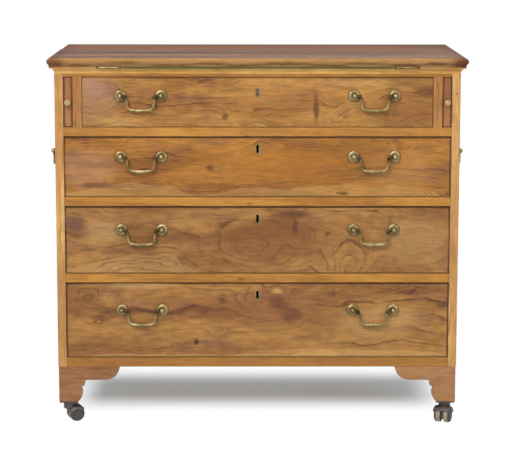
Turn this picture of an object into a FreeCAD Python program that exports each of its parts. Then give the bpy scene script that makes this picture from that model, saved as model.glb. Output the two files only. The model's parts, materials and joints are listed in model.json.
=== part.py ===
import FreeCAD, Part

import math
import os

# Chest of four drawers with a fold-over writing top on lopers, bracket feet and castors.
# Millimetres. +Z is up, the front faces -Y, and the origin is on the floor under the middle of the chest.

V = FreeCAD.Vector
X_AXIS = V(1, 0, 0)
Y_AXIS = V(0, 1, 0)
Z_AXIS = V(0, 0, 1)
UP = 90
DOWN = 270

# Case
CASE_W = 1000.0
CASE_D = 490.0
SIDE_T = 21.0
BACK_T = 10.0
BACK_REBATE = 10.0
BACK_BOARD_COUNT = 4
RAIL_T = 22.0
RAIL_DEPTH = 65.0
BASE_RAIL_H = 24.0
BASE_RAIL_T = 21.0
BOTTOM_T = 16.0
DUST_T = 10.0
HOUSING = 8.0
HOUSING_SETBACK = 15.0
KICKER_REACH = 25.0

# Heights of the four drawer openings, from the top one down
OPENING_1_H = 125.5
OPENING_2_H = 152.0
OPENING_3_H = 171.0
OPENING_4_H = 192.0

# Fixed top and fold-over leaf
FIXED_TOP_T = 15.5
LEAF_T = 23.0
SEAM_OVERHANG = 12.0
NOSE_OVERHANG = 17.0
NOSE_H = 15.0
NOSE_TOP_SETBACK = 7.0
COVE_TOP_H = 8.0
COVE_TOP_SETBACK = 2.8
COVE_SAG = 0.7
EDGE_FILLET_H = 2.0
CAVETTO_FOOT_H = 1.0
LEAF_BACK_ROUND = 6.0
LEAF_BACK_BOARD_D = 190.0
LEAF_BACK_TRIM = 8.0
BAIZE_T = 2.2
BAIZE_RECESS = 2.4
BAIZE_SIDE_MARGIN = 58.0
BAIZE_BACK_MARGIN = 45.0
BAIZE_HINGE_MARGIN = 8.0

# Leaf hinges
HINGE_X = 365.0
HINGE_L = 51.0
HINGE_PLATE_D = 28.0
HINGE_PLATE_T = 1.8
HINGE_SETOUT = 0.3
KNUCKLE_R = 3.0
KNUCKLE_MID_L = 19.0
KNUCKLE_GAP = 0.3
HINGE_PIN_R = 1.5

# Lopers and the partitions beside the top drawer
PARTITION_T = 22.5
LOPER_T = 20.5
LOPER_BACK_ROOM = 24.0
LOPER_TRAVEL = 330.0
LOPER_SETBACK = 1.0
LOPER_PEG_R = 4.0
LOPER_PEG_INSET = 25.0
LOPER_PEG_SEAT = 13.0
LOPER_PEG_REACH = 8.0
KNOB_R = 8.5
KNOB_NECK_R = 4.0
KNOB_STAND = 12.0
KNOB_SHANK = 14.0

# Drawers
FRONT_T = 20.0
DRAWER_BACK_ROOM = 15.0
DRAWER_SIDE_T = 11.0
DRAWER_BACK_T = 11.0
DRAWER_BACK_INSET = 12.0
DRAWER_BOTTOM_T = 7.0
DRAWER_BOTTOM_RISE = 9.0
DRAWER_SIDE_DROP = 6.0
DRAWER_BACK_DROP = 5.0
DRAWER_GROOVE = 5.0
DOVETAIL_LAP = 6.0
DOVETAIL_W = 20.0
DOVETAIL_PITCH = 36.0
DOVETAIL_SLOPE = 1.0 / 6.0
STOP_X = 300.0
STOP_W = 40.0
STOP_D = 25.0
STOP_T = 4.0

# Drawer locks and escutcheons
LOCK_W = 64.0
LOCK_T = 13.0
LOCK_BELOW_KEYHOLE = 16.0
BOLT_W = 20.0
BOLT_T = 5.0
BOLT_H = 15.0
BOLT_THROW = 6.0
BOLT_SET = 0.5
BOLT_BACK = 2.0
MORTISE_SPARE = 1.5
KEYHOLE_DROP = 23.2
KEYHOLE_DROP_TOP = 30.7
KEYHOLE_R = 3.6
KEYHOLE_SLOT_W = 6.2
KEYHOLE_SLOT_L = 16.5
KEYHOLE_DEPTH = 11.0
ESCUTCHEON_RIM = 3.0
ESCUTCHEON_DEPTH = 4.0
ESCUTCHEON_PROUD = 0.5

# Swan-neck handles: two pommels and a bail
HANDLE_X = 288.5
HANDLE_RISE = 25.7
HANDLE_RISE_TOP = 16.0
POMMEL_SPACING = 101.0
ROSE_R = 15.5
ROSE_EDGE = 1.0
ROSE_T = 5.2
ROSE_BULGE = 0.9
RING_R = 9.0
RING_T = 1.1
POST_R = 4.2
BALL_R = 6.4
SHANK_R = 3.0
SHANK_L = 15.0
PIVOT_STAND = 12.7
PIN_R = 2.5
PIN_SEAT = 3.5
NECK_R = 5.5
LIMB_SPACING = 66.0
BOW_DROP = 33.0
BOW_R = 4.8
CORNER_R = 5.0
SIDE_HANDLE_Z = 668.0
SIDE_PIVOT_STAND = 23.5

# Bracket feet
FOOT_H = 90.0
FOOT_L = 153.0
FOOT_T = 21.0
FOOT_INSET = 1.0
FOOT_BLOCK = 27.0
WING_H = 34.5
WING_ROUND = 38.0
SHOULDER_L = 75.0
COVE_L = 64.0
COVE_H = 48.5
CUSP_H = 41.0
STEP_L = 54.0
STEP_H = 37.0
LOBE_L = 58.5
LOBE_H = 20.0
TOE_L = 48.0
BACK_FOOT_L = 100.0

# Castors
CASTOR_PLATE_T = 4.0
CASTOR_PLATE_W = 46.0
CASTOR_TRAIL = 15.0
WHEEL_R = 19.0
WHEEL_W = 17.0
WHEEL_CHAMFER = 1.0
WHEEL_ROUND = 6.0
AXLE_R = 3.0
WEB_T = 7.0
WEB_R = 13.0
CANOPY_T = 2.5
CANOPY_FROM = 35.0
CANOPY_TO = 160.0
WEB_FOOT_ANGLE = 210.0
WEB_REACH_ANGLE = 55.0
NECK_BARREL_R = 15.0
SWIVEL_FRONT_LEFT = 22.0
SWIVEL_BACK_LEFT = -22.0
SWIVEL_RIGHT = -108.0
KING_PIN_R = 4.0
KING_PIN_L = 9.4
NECK_SINK = 8.0

# Clearances
SLIDE_GAP = 1.5
RUN_GAP = 0.4
TOP_GAP = 2.0
BOTTOM_GAP = 1.4
REST_GAP = 0.3
STOP_GAP = 0.3
TURN_GAP = 0.05
PRESS_GAP = 0.02
BOLT_GAP = 0.3
WHEEL_GAP = 0.8
SAME_POINT = 1e-6

# Levels that follow from the sizes above
AXLE_Z = WHEEL_R
CANOPY_R = WHEEL_R + WHEEL_GAP + CANOPY_T
FOOT_Z = AXLE_Z + CANOPY_R + KING_PIN_L + CASTOR_PLATE_T + REST_GAP
CASE_Z = FOOT_Z + FOOT_H
BASE_TOP = CASE_Z + BASE_RAIL_H
RAIL_3_TOP = BASE_TOP + OPENING_4_H + RAIL_T
RAIL_2_TOP = RAIL_3_TOP + OPENING_3_H + RAIL_T
RAIL_1_TOP = RAIL_2_TOP + OPENING_2_H + RAIL_T
TOP_RAIL_T = LEAF_T - FIXED_TOP_T
TOP_RAIL_Z = RAIL_1_TOP + OPENING_1_H
TOP_Z = TOP_RAIL_Z + TOP_RAIL_T
SEAM_Z = TOP_Z + FIXED_TOP_T
OPEN_LEAF_Z = SEAM_Z - LEAF_T

# Planes that follow from the sizes above
HANDLE_OUT = PIVOT_STAND + BALL_R
FRONT_Y = -(CASE_D - HANDLE_OUT) / 2
BACK_Y = FRONT_Y + CASE_D
INSIDE_BACK_Y = BACK_Y - BACK_T
CASE_MID_Y = (FRONT_Y + BACK_Y) / 2
INNER_HALF = CASE_W / 2 - SIDE_T
DRAWER_LEN = CASE_D - BACK_T - DRAWER_BACK_ROOM
LOPER_LEN = CASE_D - BACK_T - LOPER_SETBACK - LOPER_BACK_ROOM
LOPER_SLOT = LOPER_T + 2 * SLIDE_GAP
BAY_HALF = INNER_HALF - LOPER_SLOT - PARTITION_T
SEAM_Y = FRONT_Y - SEAM_OVERHANG
HINGE_Y = SEAM_Y - HINGE_SETOUT
BOLT_Y = FRONT_Y + FRONT_T - BOLT_BACK - BOLT_T
MORTISE_DEPTH = BOLT_THROW - BOLT_SET - TOP_GAP + MORTISE_SPARE

# Each drawer: its opening's floor, height and half width, its handles' rise and its keyhole's drop
DRAWERS = {
    1: (RAIL_1_TOP, OPENING_1_H, BAY_HALF, HANDLE_RISE_TOP, KEYHOLE_DROP_TOP),
    2: (RAIL_2_TOP, OPENING_2_H, INNER_HALF, HANDLE_RISE, KEYHOLE_DROP),
    3: (RAIL_3_TOP, OPENING_3_H, INNER_HALF, HANDLE_RISE, KEYHOLE_DROP),
    4: (BASE_TOP, OPENING_4_H, INNER_HALF, HANDLE_RISE, KEYHOLE_DROP),
}


def box(x0, x1, y0, y1, z0, z1):
    """A block between two corners."""
    return Part.makeBox(x1 - x0, y1 - y0, z1 - z0, V(x0, y0, z0))


def cylinder(radius, start, end):
    """A round bar from one centre to another."""
    return Part.makeCylinder(radius, start.distanceToPoint(end), start, end - start)


def profile(start, *steps):
    """A closed face: each step is a point reached straight, or a pair (point on an arc, its end)."""
    edges = []
    here = start
    for step in steps:
        if isinstance(step, tuple):
            through, end = step
            edges.append(Part.Arc(here, through, end).toShape())
        else:
            end = step
            edges.append(Part.makeLine(here, end))
        here = end
    if here.distanceToPoint(start) > SAME_POINT:
        edges.append(Part.makeLine(here, start))
    return Part.Face(Part.Wire(edges))


def across(shape):
    """The shape's mirror image on the other side of the chest."""
    return shape.mirror(V(0, 0, 0), X_AXIS)


def to_back(shape):
    """The shape's mirror image from the front of the case to its back."""
    return shape.mirror(V(0, CASE_MID_Y, 0), Y_AXIS)


def both_sides(shapes):
    """The shapes and their mirror images, each a solid of its own."""
    return Part.makeCompound([*shapes, *(across(shape) for shape in shapes)])


def moulded_slab(edge, z, thickness, back):
    """A board with one moulding along its front and both ends, mitred at the corners, and a plain back."""
    reach = CASE_W / 2 + NOSE_OVERHANG

    def front_at(out, up):
        return V(-reach, FRONT_Y - out, z + up)

    def end_at(out, up):
        return V(-CASE_W / 2 - out, FRONT_Y - NOSE_OVERHANG, z + up)

    start, *steps = edge(front_at)
    length_profile = profile(start, *steps, *back(-reach))
    start, *steps = edge(end_at)
    middle = [V(0, FRONT_Y - NOSE_OVERHANG, z + thickness), V(0, FRONT_Y - NOSE_OVERHANG, z)]
    end_profile = profile(start, *steps, *middle)
    lengthways = length_profile.extrude(V(reach, 0, 0))
    half = lengthways.common(end_profile.extrude(V(0, CASE_D + NOSE_OVERHANG, 0)))
    return half.fuse(across(half)).removeSplitter()


def fixed_edge(at):
    """Edge of the fixed top from its underside up: a cavetto that runs out to a small square fillet."""
    rise = FIXED_TOP_T - EDGE_FILLET_H - CAVETTO_FOOT_H
    bulge = 1 - math.sqrt(0.5)
    foot = at(0, CAVETTO_FOOT_H)
    waist = at(SEAM_OVERHANG * bulge, CAVETTO_FOOT_H + rise * (1 - bulge))
    fillet = at(SEAM_OVERHANG, FIXED_TOP_T - EDGE_FILLET_H)
    return [at(0, 0), foot, (waist, fillet), at(SEAM_OVERHANG, FIXED_TOP_T)]


def leaf_edge(at):
    """Edge of the leaf from its underside up: a square fillet, a shallow cove and a rounded nose."""
    fillet = at(SEAM_OVERHANG, EDGE_FILLET_H)
    cove_out = NOSE_OVERHANG - COVE_TOP_SETBACK
    cove = at((SEAM_OVERHANG + cove_out) / 2 - COVE_SAG, (EDGE_FILLET_H + COVE_TOP_H) / 2 + COVE_SAG)
    cove_top = at(cove_out, COVE_TOP_H)
    nose = at(NOSE_OVERHANG, NOSE_H)
    nose_top = at(NOSE_OVERHANG - NOSE_TOP_SETBACK, LEAF_T)
    return [at(SEAM_OVERHANG, 0), fillet, (cove, cove_top), (nose, nose_top)]


def fixed_back(x):
    """Square back edge of the fixed top."""
    return [V(x, BACK_Y, SEAM_Z), V(x, BACK_Y, TOP_Z)]


def leaf_back(x):
    """Back edge of the leaf, rounded over above."""
    top = SEAM_Z + LEAF_T
    bulge = LEAF_BACK_ROUND * (1 - math.sqrt(0.5))
    over = V(x, BACK_Y - bulge, top - bulge)
    rounded = (over, V(x, BACK_Y, top - LEAF_BACK_ROUND))
    return [V(x, BACK_Y - LEAF_BACK_ROUND, top), rounded, V(x, BACK_Y, SEAM_Z)]


def baize(z, thickness):
    """A lining for the writing surface, cut round the hinge plates and carried to the seam between them."""
    half = CASE_W / 2 + SEAM_OVERHANG - BAIZE_SIDE_MARGIN
    inner = HINGE_X - HINGE_L / 2 - BAIZE_HINGE_MARGIN
    behind = HINGE_Y + HINGE_PLATE_D + BAIZE_HINGE_MARGIN
    back = BACK_Y - BAIZE_BACK_MARGIN
    body = box(-half, half, behind, back, z, z + thickness)
    return body.fuse(box(-inner, inner, SEAM_Y, behind, z, z + thickness)).removeSplitter()


def hinge_bed(x, z):
    """The room that one hinge takes in the seam: a bed for a plate and a round for the knuckles."""
    start = x - HINGE_L / 2
    bed = box(start, start + HINGE_L, SEAM_Y, HINGE_Y + HINGE_PLATE_D, z, z + HINGE_PLATE_T)
    ends = [V(start - KNUCKLE_GAP, HINGE_Y, SEAM_Z), V(start + HINGE_L + KNUCKLE_GAP, HINGE_Y, SEAM_Z)]
    return bed.fuse(cylinder(KNUCKLE_R + KNUCKLE_GAP, *ends))


def hinge_knuckles():
    """Spans of a hinge's three knuckles from its middle, the outer two and then the inner one."""
    mid = KNUCKLE_MID_L / 2
    end = HINGE_L / 2
    return [(-end, -mid - KNUCKLE_GAP), (mid + KNUCKLE_GAP, end)], [(-mid, mid)]


def hinge_leaf(x, z, own, other):
    """One plate of a hinge with its own knuckles, cut clear of the other plate's."""

    def at(span, radius):
        start, end = span
        return cylinder(radius, V(x + start, HINGE_Y, SEAM_Z), V(x + end, HINGE_Y, SEAM_Z))

    plate = box(x - HINGE_L / 2, x + HINGE_L / 2, HINGE_Y, HINGE_Y + HINGE_PLATE_D, z, z + HINGE_PLATE_T)
    for span in other:
        wide = (span[0] - KNUCKLE_GAP, span[1] + KNUCKLE_GAP)
        plate = plate.cut(at(wide, KNUCKLE_R + KNUCKLE_GAP))
    for span in own:
        plate = plate.fuse(at(span, KNUCKLE_R))
    return plate.cut(at((-HINGE_L / 2, HINGE_L / 2), HINGE_PIN_R + TURN_GAP)).removeSplitter()


def hinge_pin(x):
    """The pin of one hinge."""
    return cylinder(HINGE_PIN_R, V(x - HINGE_L / 2, HINGE_Y, SEAM_Z), V(x + HINGE_L / 2, HINGE_Y, SEAM_Z))


def hinges():
    """The plates on the fixed top with their pins, and the plates on the leaf."""
    outer, inner = hinge_knuckles()
    lower = hinge_leaf(HINGE_X, SEAM_Z - HINGE_PLATE_T, outer, inner)
    upper = hinge_leaf(HINGE_X, SEAM_Z, inner, outer)
    pin = hinge_pin(HINGE_X)
    return both_sides([lower, pin]), both_sides([upper])


def fixed_top():
    """The fixed top, bedded for its lining and hinge plates."""
    slab = moulded_slab(fixed_edge, TOP_Z, FIXED_TOP_T, fixed_back)
    beds = [hinge_bed(x, SEAM_Z - HINGE_PLATE_T) for x in (-HINGE_X, HINGE_X)]
    return slab.cut([*beds, baize(SEAM_Z - BAIZE_RECESS, BAIZE_RECESS)])


def fold_leaf():
    """The fold-over leaf's front and back boards, bedded on their underside for the lining and hinge plates.

    The back board is trimmed at its left end.
    """
    slab = moulded_slab(leaf_edge, SEAM_Z, LEAF_T, leaf_back)
    beds = [hinge_bed(x, SEAM_Z) for x in (-HINGE_X, HINGE_X)]
    bedded = slab.cut([*beds, baize(SEAM_Z, BAIZE_RECESS)])
    reach = CASE_W / 2 + NOSE_OVERHANG
    joint_y = BACK_Y - LEAF_BACK_BOARD_D
    top = SEAM_Z + LEAF_T
    front = bedded.common(box(-reach, reach, FRONT_Y - NOSE_OVERHANG, joint_y, SEAM_Z, top))
    back = bedded.common(box(-reach + LEAF_BACK_TRIM, reach, joint_y, BACK_Y, SEAM_Z, top))
    return Part.makeCompound([front, back])


def case_side():
    """The left side, with housings for rails and boards, a rebate for the back and holes for a handle."""
    side = box(-CASE_W / 2, -INNER_HALF, FRONT_Y, BACK_Y, CASE_Z, TOP_Z)
    shelves = [(top, DUST_T) for top in (RAIL_1_TOP, RAIL_2_TOP, RAIL_3_TOP)] + [(BASE_TOP, BOTTOM_T)]
    front = FRONT_Y + HOUSING_SETBACK
    reach = INNER_HALF + HOUSING
    cuts = [box(-reach, -INNER_HALF, front, INSIDE_BACK_Y, top - t, top) for top, t in shelves]
    cuts.append(box(-INNER_HALF - BACK_REBATE, -INNER_HALF, INSIDE_BACK_Y, BACK_Y, CASE_Z, TOP_Z))
    for y in side_pommels():
        hole_end = V(-CASE_W / 2 + SHANK_L, y, SIDE_HANDLE_Z)
        cuts.append(cylinder(SHANK_R + PRESS_GAP, V(-CASE_W / 2, y, SIDE_HANDLE_Z), hole_end))
    return side.cut(cuts)


def bolt_mortise(ceiling):
    """The mortise for a drawer's lock bolt in the rail above it."""
    y0 = BOLT_Y - BOLT_GAP
    y1 = BOLT_Y + BOLT_T + BOLT_GAP
    half = BOLT_W / 2 + BOLT_GAP
    return box(-half, half, y0, y1, ceiling, ceiling + MORTISE_DEPTH)


def rail(top, height, depth, tongue_t):
    """A front rail with a tongue at each end for the housings in the sides."""
    bar = box(-INNER_HALF, INNER_HALF, FRONT_Y, FRONT_Y + depth, top - height, top)
    reach = INNER_HALF + HOUSING
    tongue = box(-reach, reach, FRONT_Y + HOUSING_SETBACK, FRONT_Y + depth, top - tongue_t, top)
    return bar.fuse(tongue).removeSplitter()


def drawer_rails():
    """The three rails between the drawers, mortised below for the bolts."""
    tops = (RAIL_1_TOP, RAIL_2_TOP, RAIL_3_TOP)
    bars = [rail(z, RAIL_T, RAIL_DEPTH, DUST_T) for z in tops]
    return Part.makeCompound([bar.cut(bolt_mortise(z - RAIL_T)) for bar, z in zip(bars, tops)])


def top_rail():
    """The thin rail under the fixed top."""
    bar = box(-INNER_HALF, INNER_HALF, FRONT_Y, FRONT_Y + RAIL_DEPTH, TOP_RAIL_Z, TOP_Z)
    return bar.cut(bolt_mortise(TOP_RAIL_Z))


def dust_boards():
    """The three boards behind the drawer rails, flush with their tops."""
    reach = INNER_HALF + HOUSING
    tops = (RAIL_1_TOP, RAIL_2_TOP, RAIL_3_TOP)
    return Part.makeCompound(
        [box(-reach, reach, FRONT_Y + RAIL_DEPTH, INSIDE_BACK_Y, z - DUST_T, z) for z in tops]
    )


def bottom_board():
    """The case bottom, behind the base rail."""
    reach = INNER_HALF + HOUSING
    return box(-reach, reach, FRONT_Y + BASE_RAIL_T, INSIDE_BACK_Y, BASE_TOP - BOTTOM_T, BASE_TOP)


def back_boards():
    """Upright boards that fill the rebate at the back."""
    reach = INNER_HALF + BACK_REBATE
    width = 2 * reach / BACK_BOARD_COUNT
    starts = [-reach + i * width for i in range(BACK_BOARD_COUNT)]
    return Part.makeCompound([box(x, x + width, INSIDE_BACK_Y, BACK_Y, CASE_Z, TOP_Z) for x in starts])


def kicker_strips():
    """Strips under the fixed top that keep the lopers and the top drawer level."""
    inner = BAY_HALF - KICKER_REACH
    return both_sides([box(inner, INNER_HALF, FRONT_Y + RAIL_DEPTH, INSIDE_BACK_Y, TOP_RAIL_Z, TOP_Z)])


def loper_levels():
    """Bottom, top and middle height of a loper, whose top carries the open leaf."""
    low = RAIL_1_TOP + RUN_GAP
    high = OPEN_LEAF_Z - REST_GAP
    return low, high, (low + high) / 2


def peg_y():
    """Depth of the loper's stop peg with the loper pushed in."""
    return FRONT_Y + LOPER_SETBACK + LOPER_LEN - LOPER_PEG_INSET


def loper_partition():
    """The right partition, grooved for the loper's stop peg."""
    board = box(BAY_HALF, BAY_HALF + PARTITION_T, FRONT_Y, INSIDE_BACK_Y, RAIL_1_TOP, TOP_RAIL_Z)
    middle = loper_levels()[2]
    room = LOPER_PEG_R + REST_GAP
    depth = LOPER_PEG_REACH + REST_GAP
    outer = BAY_HALF + PARTITION_T
    start = peg_y() - LOPER_TRAVEL - room
    groove = box(outer - depth, outer, start, peg_y() + room, middle - room, middle + room)
    return board.cut(groove)


def loper():
    """The right loper and its stop peg, with a hole in its front for the knob."""
    low, high, middle = loper_levels()
    inner = BAY_HALF + PARTITION_T + SLIDE_GAP
    front = FRONT_Y + LOPER_SETBACK
    board = box(inner, inner + LOPER_T, front, front + LOPER_LEN, low, high)
    seat = V(inner + LOPER_PEG_SEAT, peg_y(), middle)
    tip = V(inner - SLIDE_GAP - LOPER_PEG_REACH, peg_y(), middle)
    knob_x = inner + LOPER_T / 2
    knob_seat = V(knob_x, front + KNOB_SHANK, middle)
    knob_hole = cylinder(KNOB_NECK_R + PRESS_GAP, V(knob_x, front, middle), knob_seat)
    peg_hole = cylinder(LOPER_PEG_R + PRESS_GAP, seat, V(inner, peg_y(), middle))
    board = board.cut([knob_hole, peg_hole])
    return Part.makeCompound([board, cylinder(LOPER_PEG_R, seat, tip)])


def loper_knob():
    """The right loper's turned brass knob: a shank, a neck and a ball that is flattened behind."""
    x = BAY_HALF + PARTITION_T + SLIDE_GAP + LOPER_T / 2
    face = FRONT_Y + LOPER_SETBACK
    z = loper_levels()[2]

    def at(r, out):
        return V(x + r, face - out, z)

    ball_back = KNOB_STAND - KNOB_R / 2
    ball_back_r = KNOB_R * math.sqrt(0.75)
    ball_end = KNOB_STAND + KNOB_R / 2
    turned = profile(
        at(0, -KNOB_SHANK),
        at(KNOB_NECK_R, -KNOB_SHANK),
        at(KNOB_NECK_R, ball_back),
        at(ball_back_r, ball_back),
        (at(KNOB_R, KNOB_STAND), at(ball_back_r, ball_end)),
        at(0, ball_end),
    )
    return turned.revolve(V(x, face, z), Y_AXIS, 360)


def drawer_stops():
    """Two stop blocks behind the foot of each drawer front."""
    y0 = FRONT_Y + FRONT_T + STOP_GAP
    x0 = STOP_X - STOP_W / 2
    floors = [floor for floor, *_ in DRAWERS.values()]
    return both_sides([box(x0, x0 + STOP_W, y0, y0 + STOP_D, z, z + STOP_T) for z in floors])


def keyhole(z, grow, y0, y1):
    """A keyhole-shaped plug: a round head at height z over a slot, grown on every side."""
    head = cylinder(KEYHOLE_R + grow, V(0, y0, z), V(0, y1, z))
    half = KEYHOLE_SLOT_W / 2 + grow
    slot = box(-half, half, y0, y1, z - KEYHOLE_SLOT_L - grow, z)
    return head.fuse(slot).removeSplitter()


def drawer_side(floor, top, half):
    """A drawer's left side without grooves: a board with dovetail tails at its front end."""
    low = floor + RUN_GAP
    high = top - DRAWER_SIDE_DROP
    outer = -half + SLIDE_GAP
    shoulder = FRONT_Y + FRONT_T
    board = box(outer, outer + DRAWER_SIDE_T, shoulder, FRONT_Y + DRAWER_LEN, low, high)
    count = max(2, round((high - low) / DOVETAIL_PITCH))
    pitch = (high - low) / count
    tip = FRONT_Y + DOVETAIL_LAP
    root_half = DOVETAIL_W / 2
    tip_half = root_half + (shoulder - tip) * DOVETAIL_SLOPE
    for i in range(count):
        middle = low + (i + 0.5) * pitch
        tail = profile(
            V(outer, shoulder, middle - root_half),
            V(outer, tip, middle - tip_half),
            V(outer, tip, middle + tip_half),
            V(outer, shoulder, middle + root_half),
        )
        board = board.fuse(tail.extrude(V(DRAWER_SIDE_T, 0, 0)))
    return board.removeSplitter()


def drawer(number):
    """A drawer's front, its box of sides, back and bottom, its brasses and its lock bolt."""
    floor, height, half, _, drop = DRAWERS[number]
    low = floor + BOTTOM_GAP
    top = floor + height - TOP_GAP
    outer = half - SLIDE_GAP
    inner = outer - DRAWER_SIDE_T
    end = FRONT_Y + DRAWER_LEN
    bed = floor + DRAWER_BOTTOM_RISE
    key_z = top - drop
    handle_z = handle_level(number)

    bottom = box(
        -inner - DRAWER_GROOVE,
        inner + DRAWER_GROOVE,
        FRONT_Y + FRONT_T - DRAWER_GROOVE,
        end,
        bed,
        bed + DRAWER_BOTTOM_T,
    )
    back_y = end - DRAWER_BACK_INSET
    back_top = top - DRAWER_SIDE_DROP - DRAWER_BACK_DROP
    back_half = inner + DRAWER_GROOVE
    back = box(-back_half, back_half, back_y - DRAWER_BACK_T, back_y, bed + DRAWER_BOTTOM_T, back_top)

    left = drawer_side(floor, top, half)
    tails = [left, across(left)]
    housed = left.cut([bottom, back])
    sides = [housed, across(housed)]

    lock_z = key_z - KEYHOLE_SLOT_L - LOCK_BELOW_KEYHOLE
    lock_y = FRONT_Y + FRONT_T - LOCK_T
    lock = box(-LOCK_W / 2, LOCK_W / 2, lock_y, FRONT_Y + FRONT_T, lock_z, top)
    bolt_top = top - BOLT_SET
    bolt = box(-BOLT_W / 2, BOLT_W / 2, BOLT_Y, BOLT_Y + BOLT_T, bolt_top - BOLT_H, bolt_top)
    channel_half = BOLT_W / 2 + BOLT_GAP
    channel = box(
        -channel_half,
        channel_half,
        BOLT_Y - BOLT_GAP,
        BOLT_Y + BOLT_T + BOLT_GAP,
        bolt_top - BOLT_H - BOLT_GAP,
        top,
    )
    key_way = keyhole(key_z, 0, FRONT_Y - ESCUTCHEON_PROUD, FRONT_Y + KEYHOLE_DEPTH)
    plate = keyhole(key_z, ESCUTCHEON_RIM, FRONT_Y - ESCUTCHEON_PROUD, FRONT_Y + ESCUTCHEON_DEPTH)
    posts = [x + side * POMMEL_SPACING / 2 for x in (-HANDLE_X, HANDLE_X) for side in (-1, 1)]
    shank_end = FRONT_Y + SHANK_L
    hole_r = SHANK_R + PRESS_GAP
    holes = [cylinder(hole_r, V(x, FRONT_Y, handle_z), V(x, shank_end, handle_z)) for x in posts]
    front = box(-outer, outer, FRONT_Y, FRONT_Y + FRONT_T, low, top)
    front = front.cut([*tails, bottom, lock, key_way, plate, *holes])

    pommels = []
    for x in (-HANDLE_X, HANDLE_X):
        place = FreeCAD.Placement(V(x, FRONT_Y, handle_z), FreeCAD.Rotation())
        pommels += [placed(shape, place) for shape in pommel_pair(PIVOT_STAND)]
    brasses = [lock.cut([channel, key_way]), plate.cut(key_way), *pommels]
    return front, Part.makeCompound([*sides, back, bottom]), Part.makeCompound(brasses), bolt


def handle_level(number):
    """Height of a drawer's handles: the middle of its front and their rise."""
    floor, height, _, rise, _ = DRAWERS[number]
    return floor + (height + BOTTOM_GAP - TOP_GAP) / 2 + rise


def placed(shape, place):
    """A copy of the shape moved by a placement."""
    moved = shape.copy()
    moved.Placement = place.multiply(moved.Placement)
    return moved


def pommel(stand):
    """A turned pommel about its own axis: shank, domed rose, ring, and a ball bored for the bail on +X."""

    def at(r, out):
        return V(r, -out, 0)

    dome = at((ROSE_R + RING_R) / 2 + ROSE_BULGE, (ROSE_EDGE + ROSE_T) / 2 + ROSE_BULGE)
    ring_top = ROSE_T + RING_T
    ball_from = stand - math.sqrt(BALL_R**2 - POST_R**2)
    turned = profile(
        at(0, -SHANK_L),
        at(SHANK_R, -SHANK_L),
        at(SHANK_R, 0),
        at(ROSE_R, 0),
        at(ROSE_R, ROSE_EDGE),
        (dome, at(RING_R, ROSE_T)),
        at(RING_R, ring_top),
        at(POST_R, ring_top),
        at(POST_R, ball_from),
        (at(BALL_R, stand), at(0, stand + BALL_R)),
    )
    solid = turned.revolve(V(0, 0, 0), Y_AXIS, 360)
    return solid.cut(cylinder(PIN_R + TURN_GAP, V(-PIN_SEAT - TURN_GAP, -stand, 0), V(BALL_R, -stand, 0)))


def pommel_pair(stand):
    """The two pommels of a handle, bored towards each other."""
    left = pommel(stand)
    left.translate(V(-POMMEL_SPACING / 2, 0, 0))
    return [left, across(left)]


def quarter_bend(start, centre, turn):
    """A quarter bend of the bail's bar from a start point round a centre, in the plane of the bail."""
    section = Part.Face(Part.Wire(Part.makeCircle(PIN_R, start, Y_AXIS.cross(start - centre))))
    return section.revolve(centre, Y_AXIS, turn)


def bail(stand):
    """A bail hanging from its pins: bent necks, straight limbs and a bow that swells to its middle."""

    def at(along, up):
        return V(along, -stand, up)

    limb = LIMB_SPACING / 2
    bow_half = limb - CORNER_R
    neck_centre = at(limb + NECK_R, -NECK_R)
    corner_centre = at(bow_half, CORNER_R - BOW_DROP)
    right = [
        cylinder(PIN_R, at(POMMEL_SPACING / 2 + PIN_SEAT, 0), at(limb + NECK_R, 0)),
        quarter_bend(at(limb + NECK_R, 0), neck_centre, -90),
        cylinder(PIN_R, at(limb, -NECK_R), at(limb, CORNER_R - BOW_DROP)),
        quarter_bend(at(limb, CORNER_R - BOW_DROP), corner_centre, 90),
    ]
    swell = profile(
        at(-bow_half, -BOW_DROP),
        at(-bow_half, PIN_R - BOW_DROP),
        (at(0, BOW_R - BOW_DROP), at(bow_half, PIN_R - BOW_DROP)),
        at(bow_half, -BOW_DROP),
    )
    bow = swell.revolve(at(0, -BOW_DROP), X_AXIS, 360)
    return bow.fuse([*right, *(across(piece) for piece in right)]).removeSplitter()


def side_pommels():
    """Depths of a side handle's two pommels."""
    return CASE_MID_Y - POMMEL_SPACING / 2, CASE_MID_Y + POMMEL_SPACING / 2


def side_place():
    """Where a handle goes on the left side of the case."""
    return FreeCAD.Placement(V(-CASE_W / 2, CASE_MID_Y, SIDE_HANDLE_Z), FreeCAD.Rotation(Z_AXIS, -90))


def foot_bracket(outline):
    """A bracket from its outer corner at the origin: face along +X, thickness along +Y, mitred there."""
    board = outline.extrude(V(0, FOOT_T, 0))
    mitre = profile(V(0, 0, 0), V(FOOT_T, FOOT_T, 0), V(0, FOOT_T, 0))
    return board.cut(mitre.extrude(V(0, 0, FOOT_H)))


def scrolled_outline():
    """Outline of a shaped bracket: rounded wing, straight shoulder, cove, cusp, step and a bulging toe."""

    def at(along, up):
        return V(along, 0, up)

    shoulder = FOOT_H - WING_H
    diagonal = math.sqrt(0.5)
    wing = at(FOOT_L - WING_ROUND * (1 - diagonal), FOOT_H - WING_H * diagonal)
    cove = at(COVE_L + (SHOULDER_L - COVE_L) * (1 - diagonal), COVE_H + (shoulder - COVE_H) * diagonal)
    return profile(
        at(0, 0),
        at(TOE_L, 0),
        (at(LOBE_L, LOBE_H), at(STEP_L, STEP_H)),
        at(COVE_L, CUSP_H),
        at(COVE_L, COVE_H),
        (cove, at(SHOULDER_L, shoulder)),
        at(FOOT_L - WING_ROUND, shoulder),
        (wing, at(FOOT_L, FOOT_H)),
        at(0, FOOT_H),
    )


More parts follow.
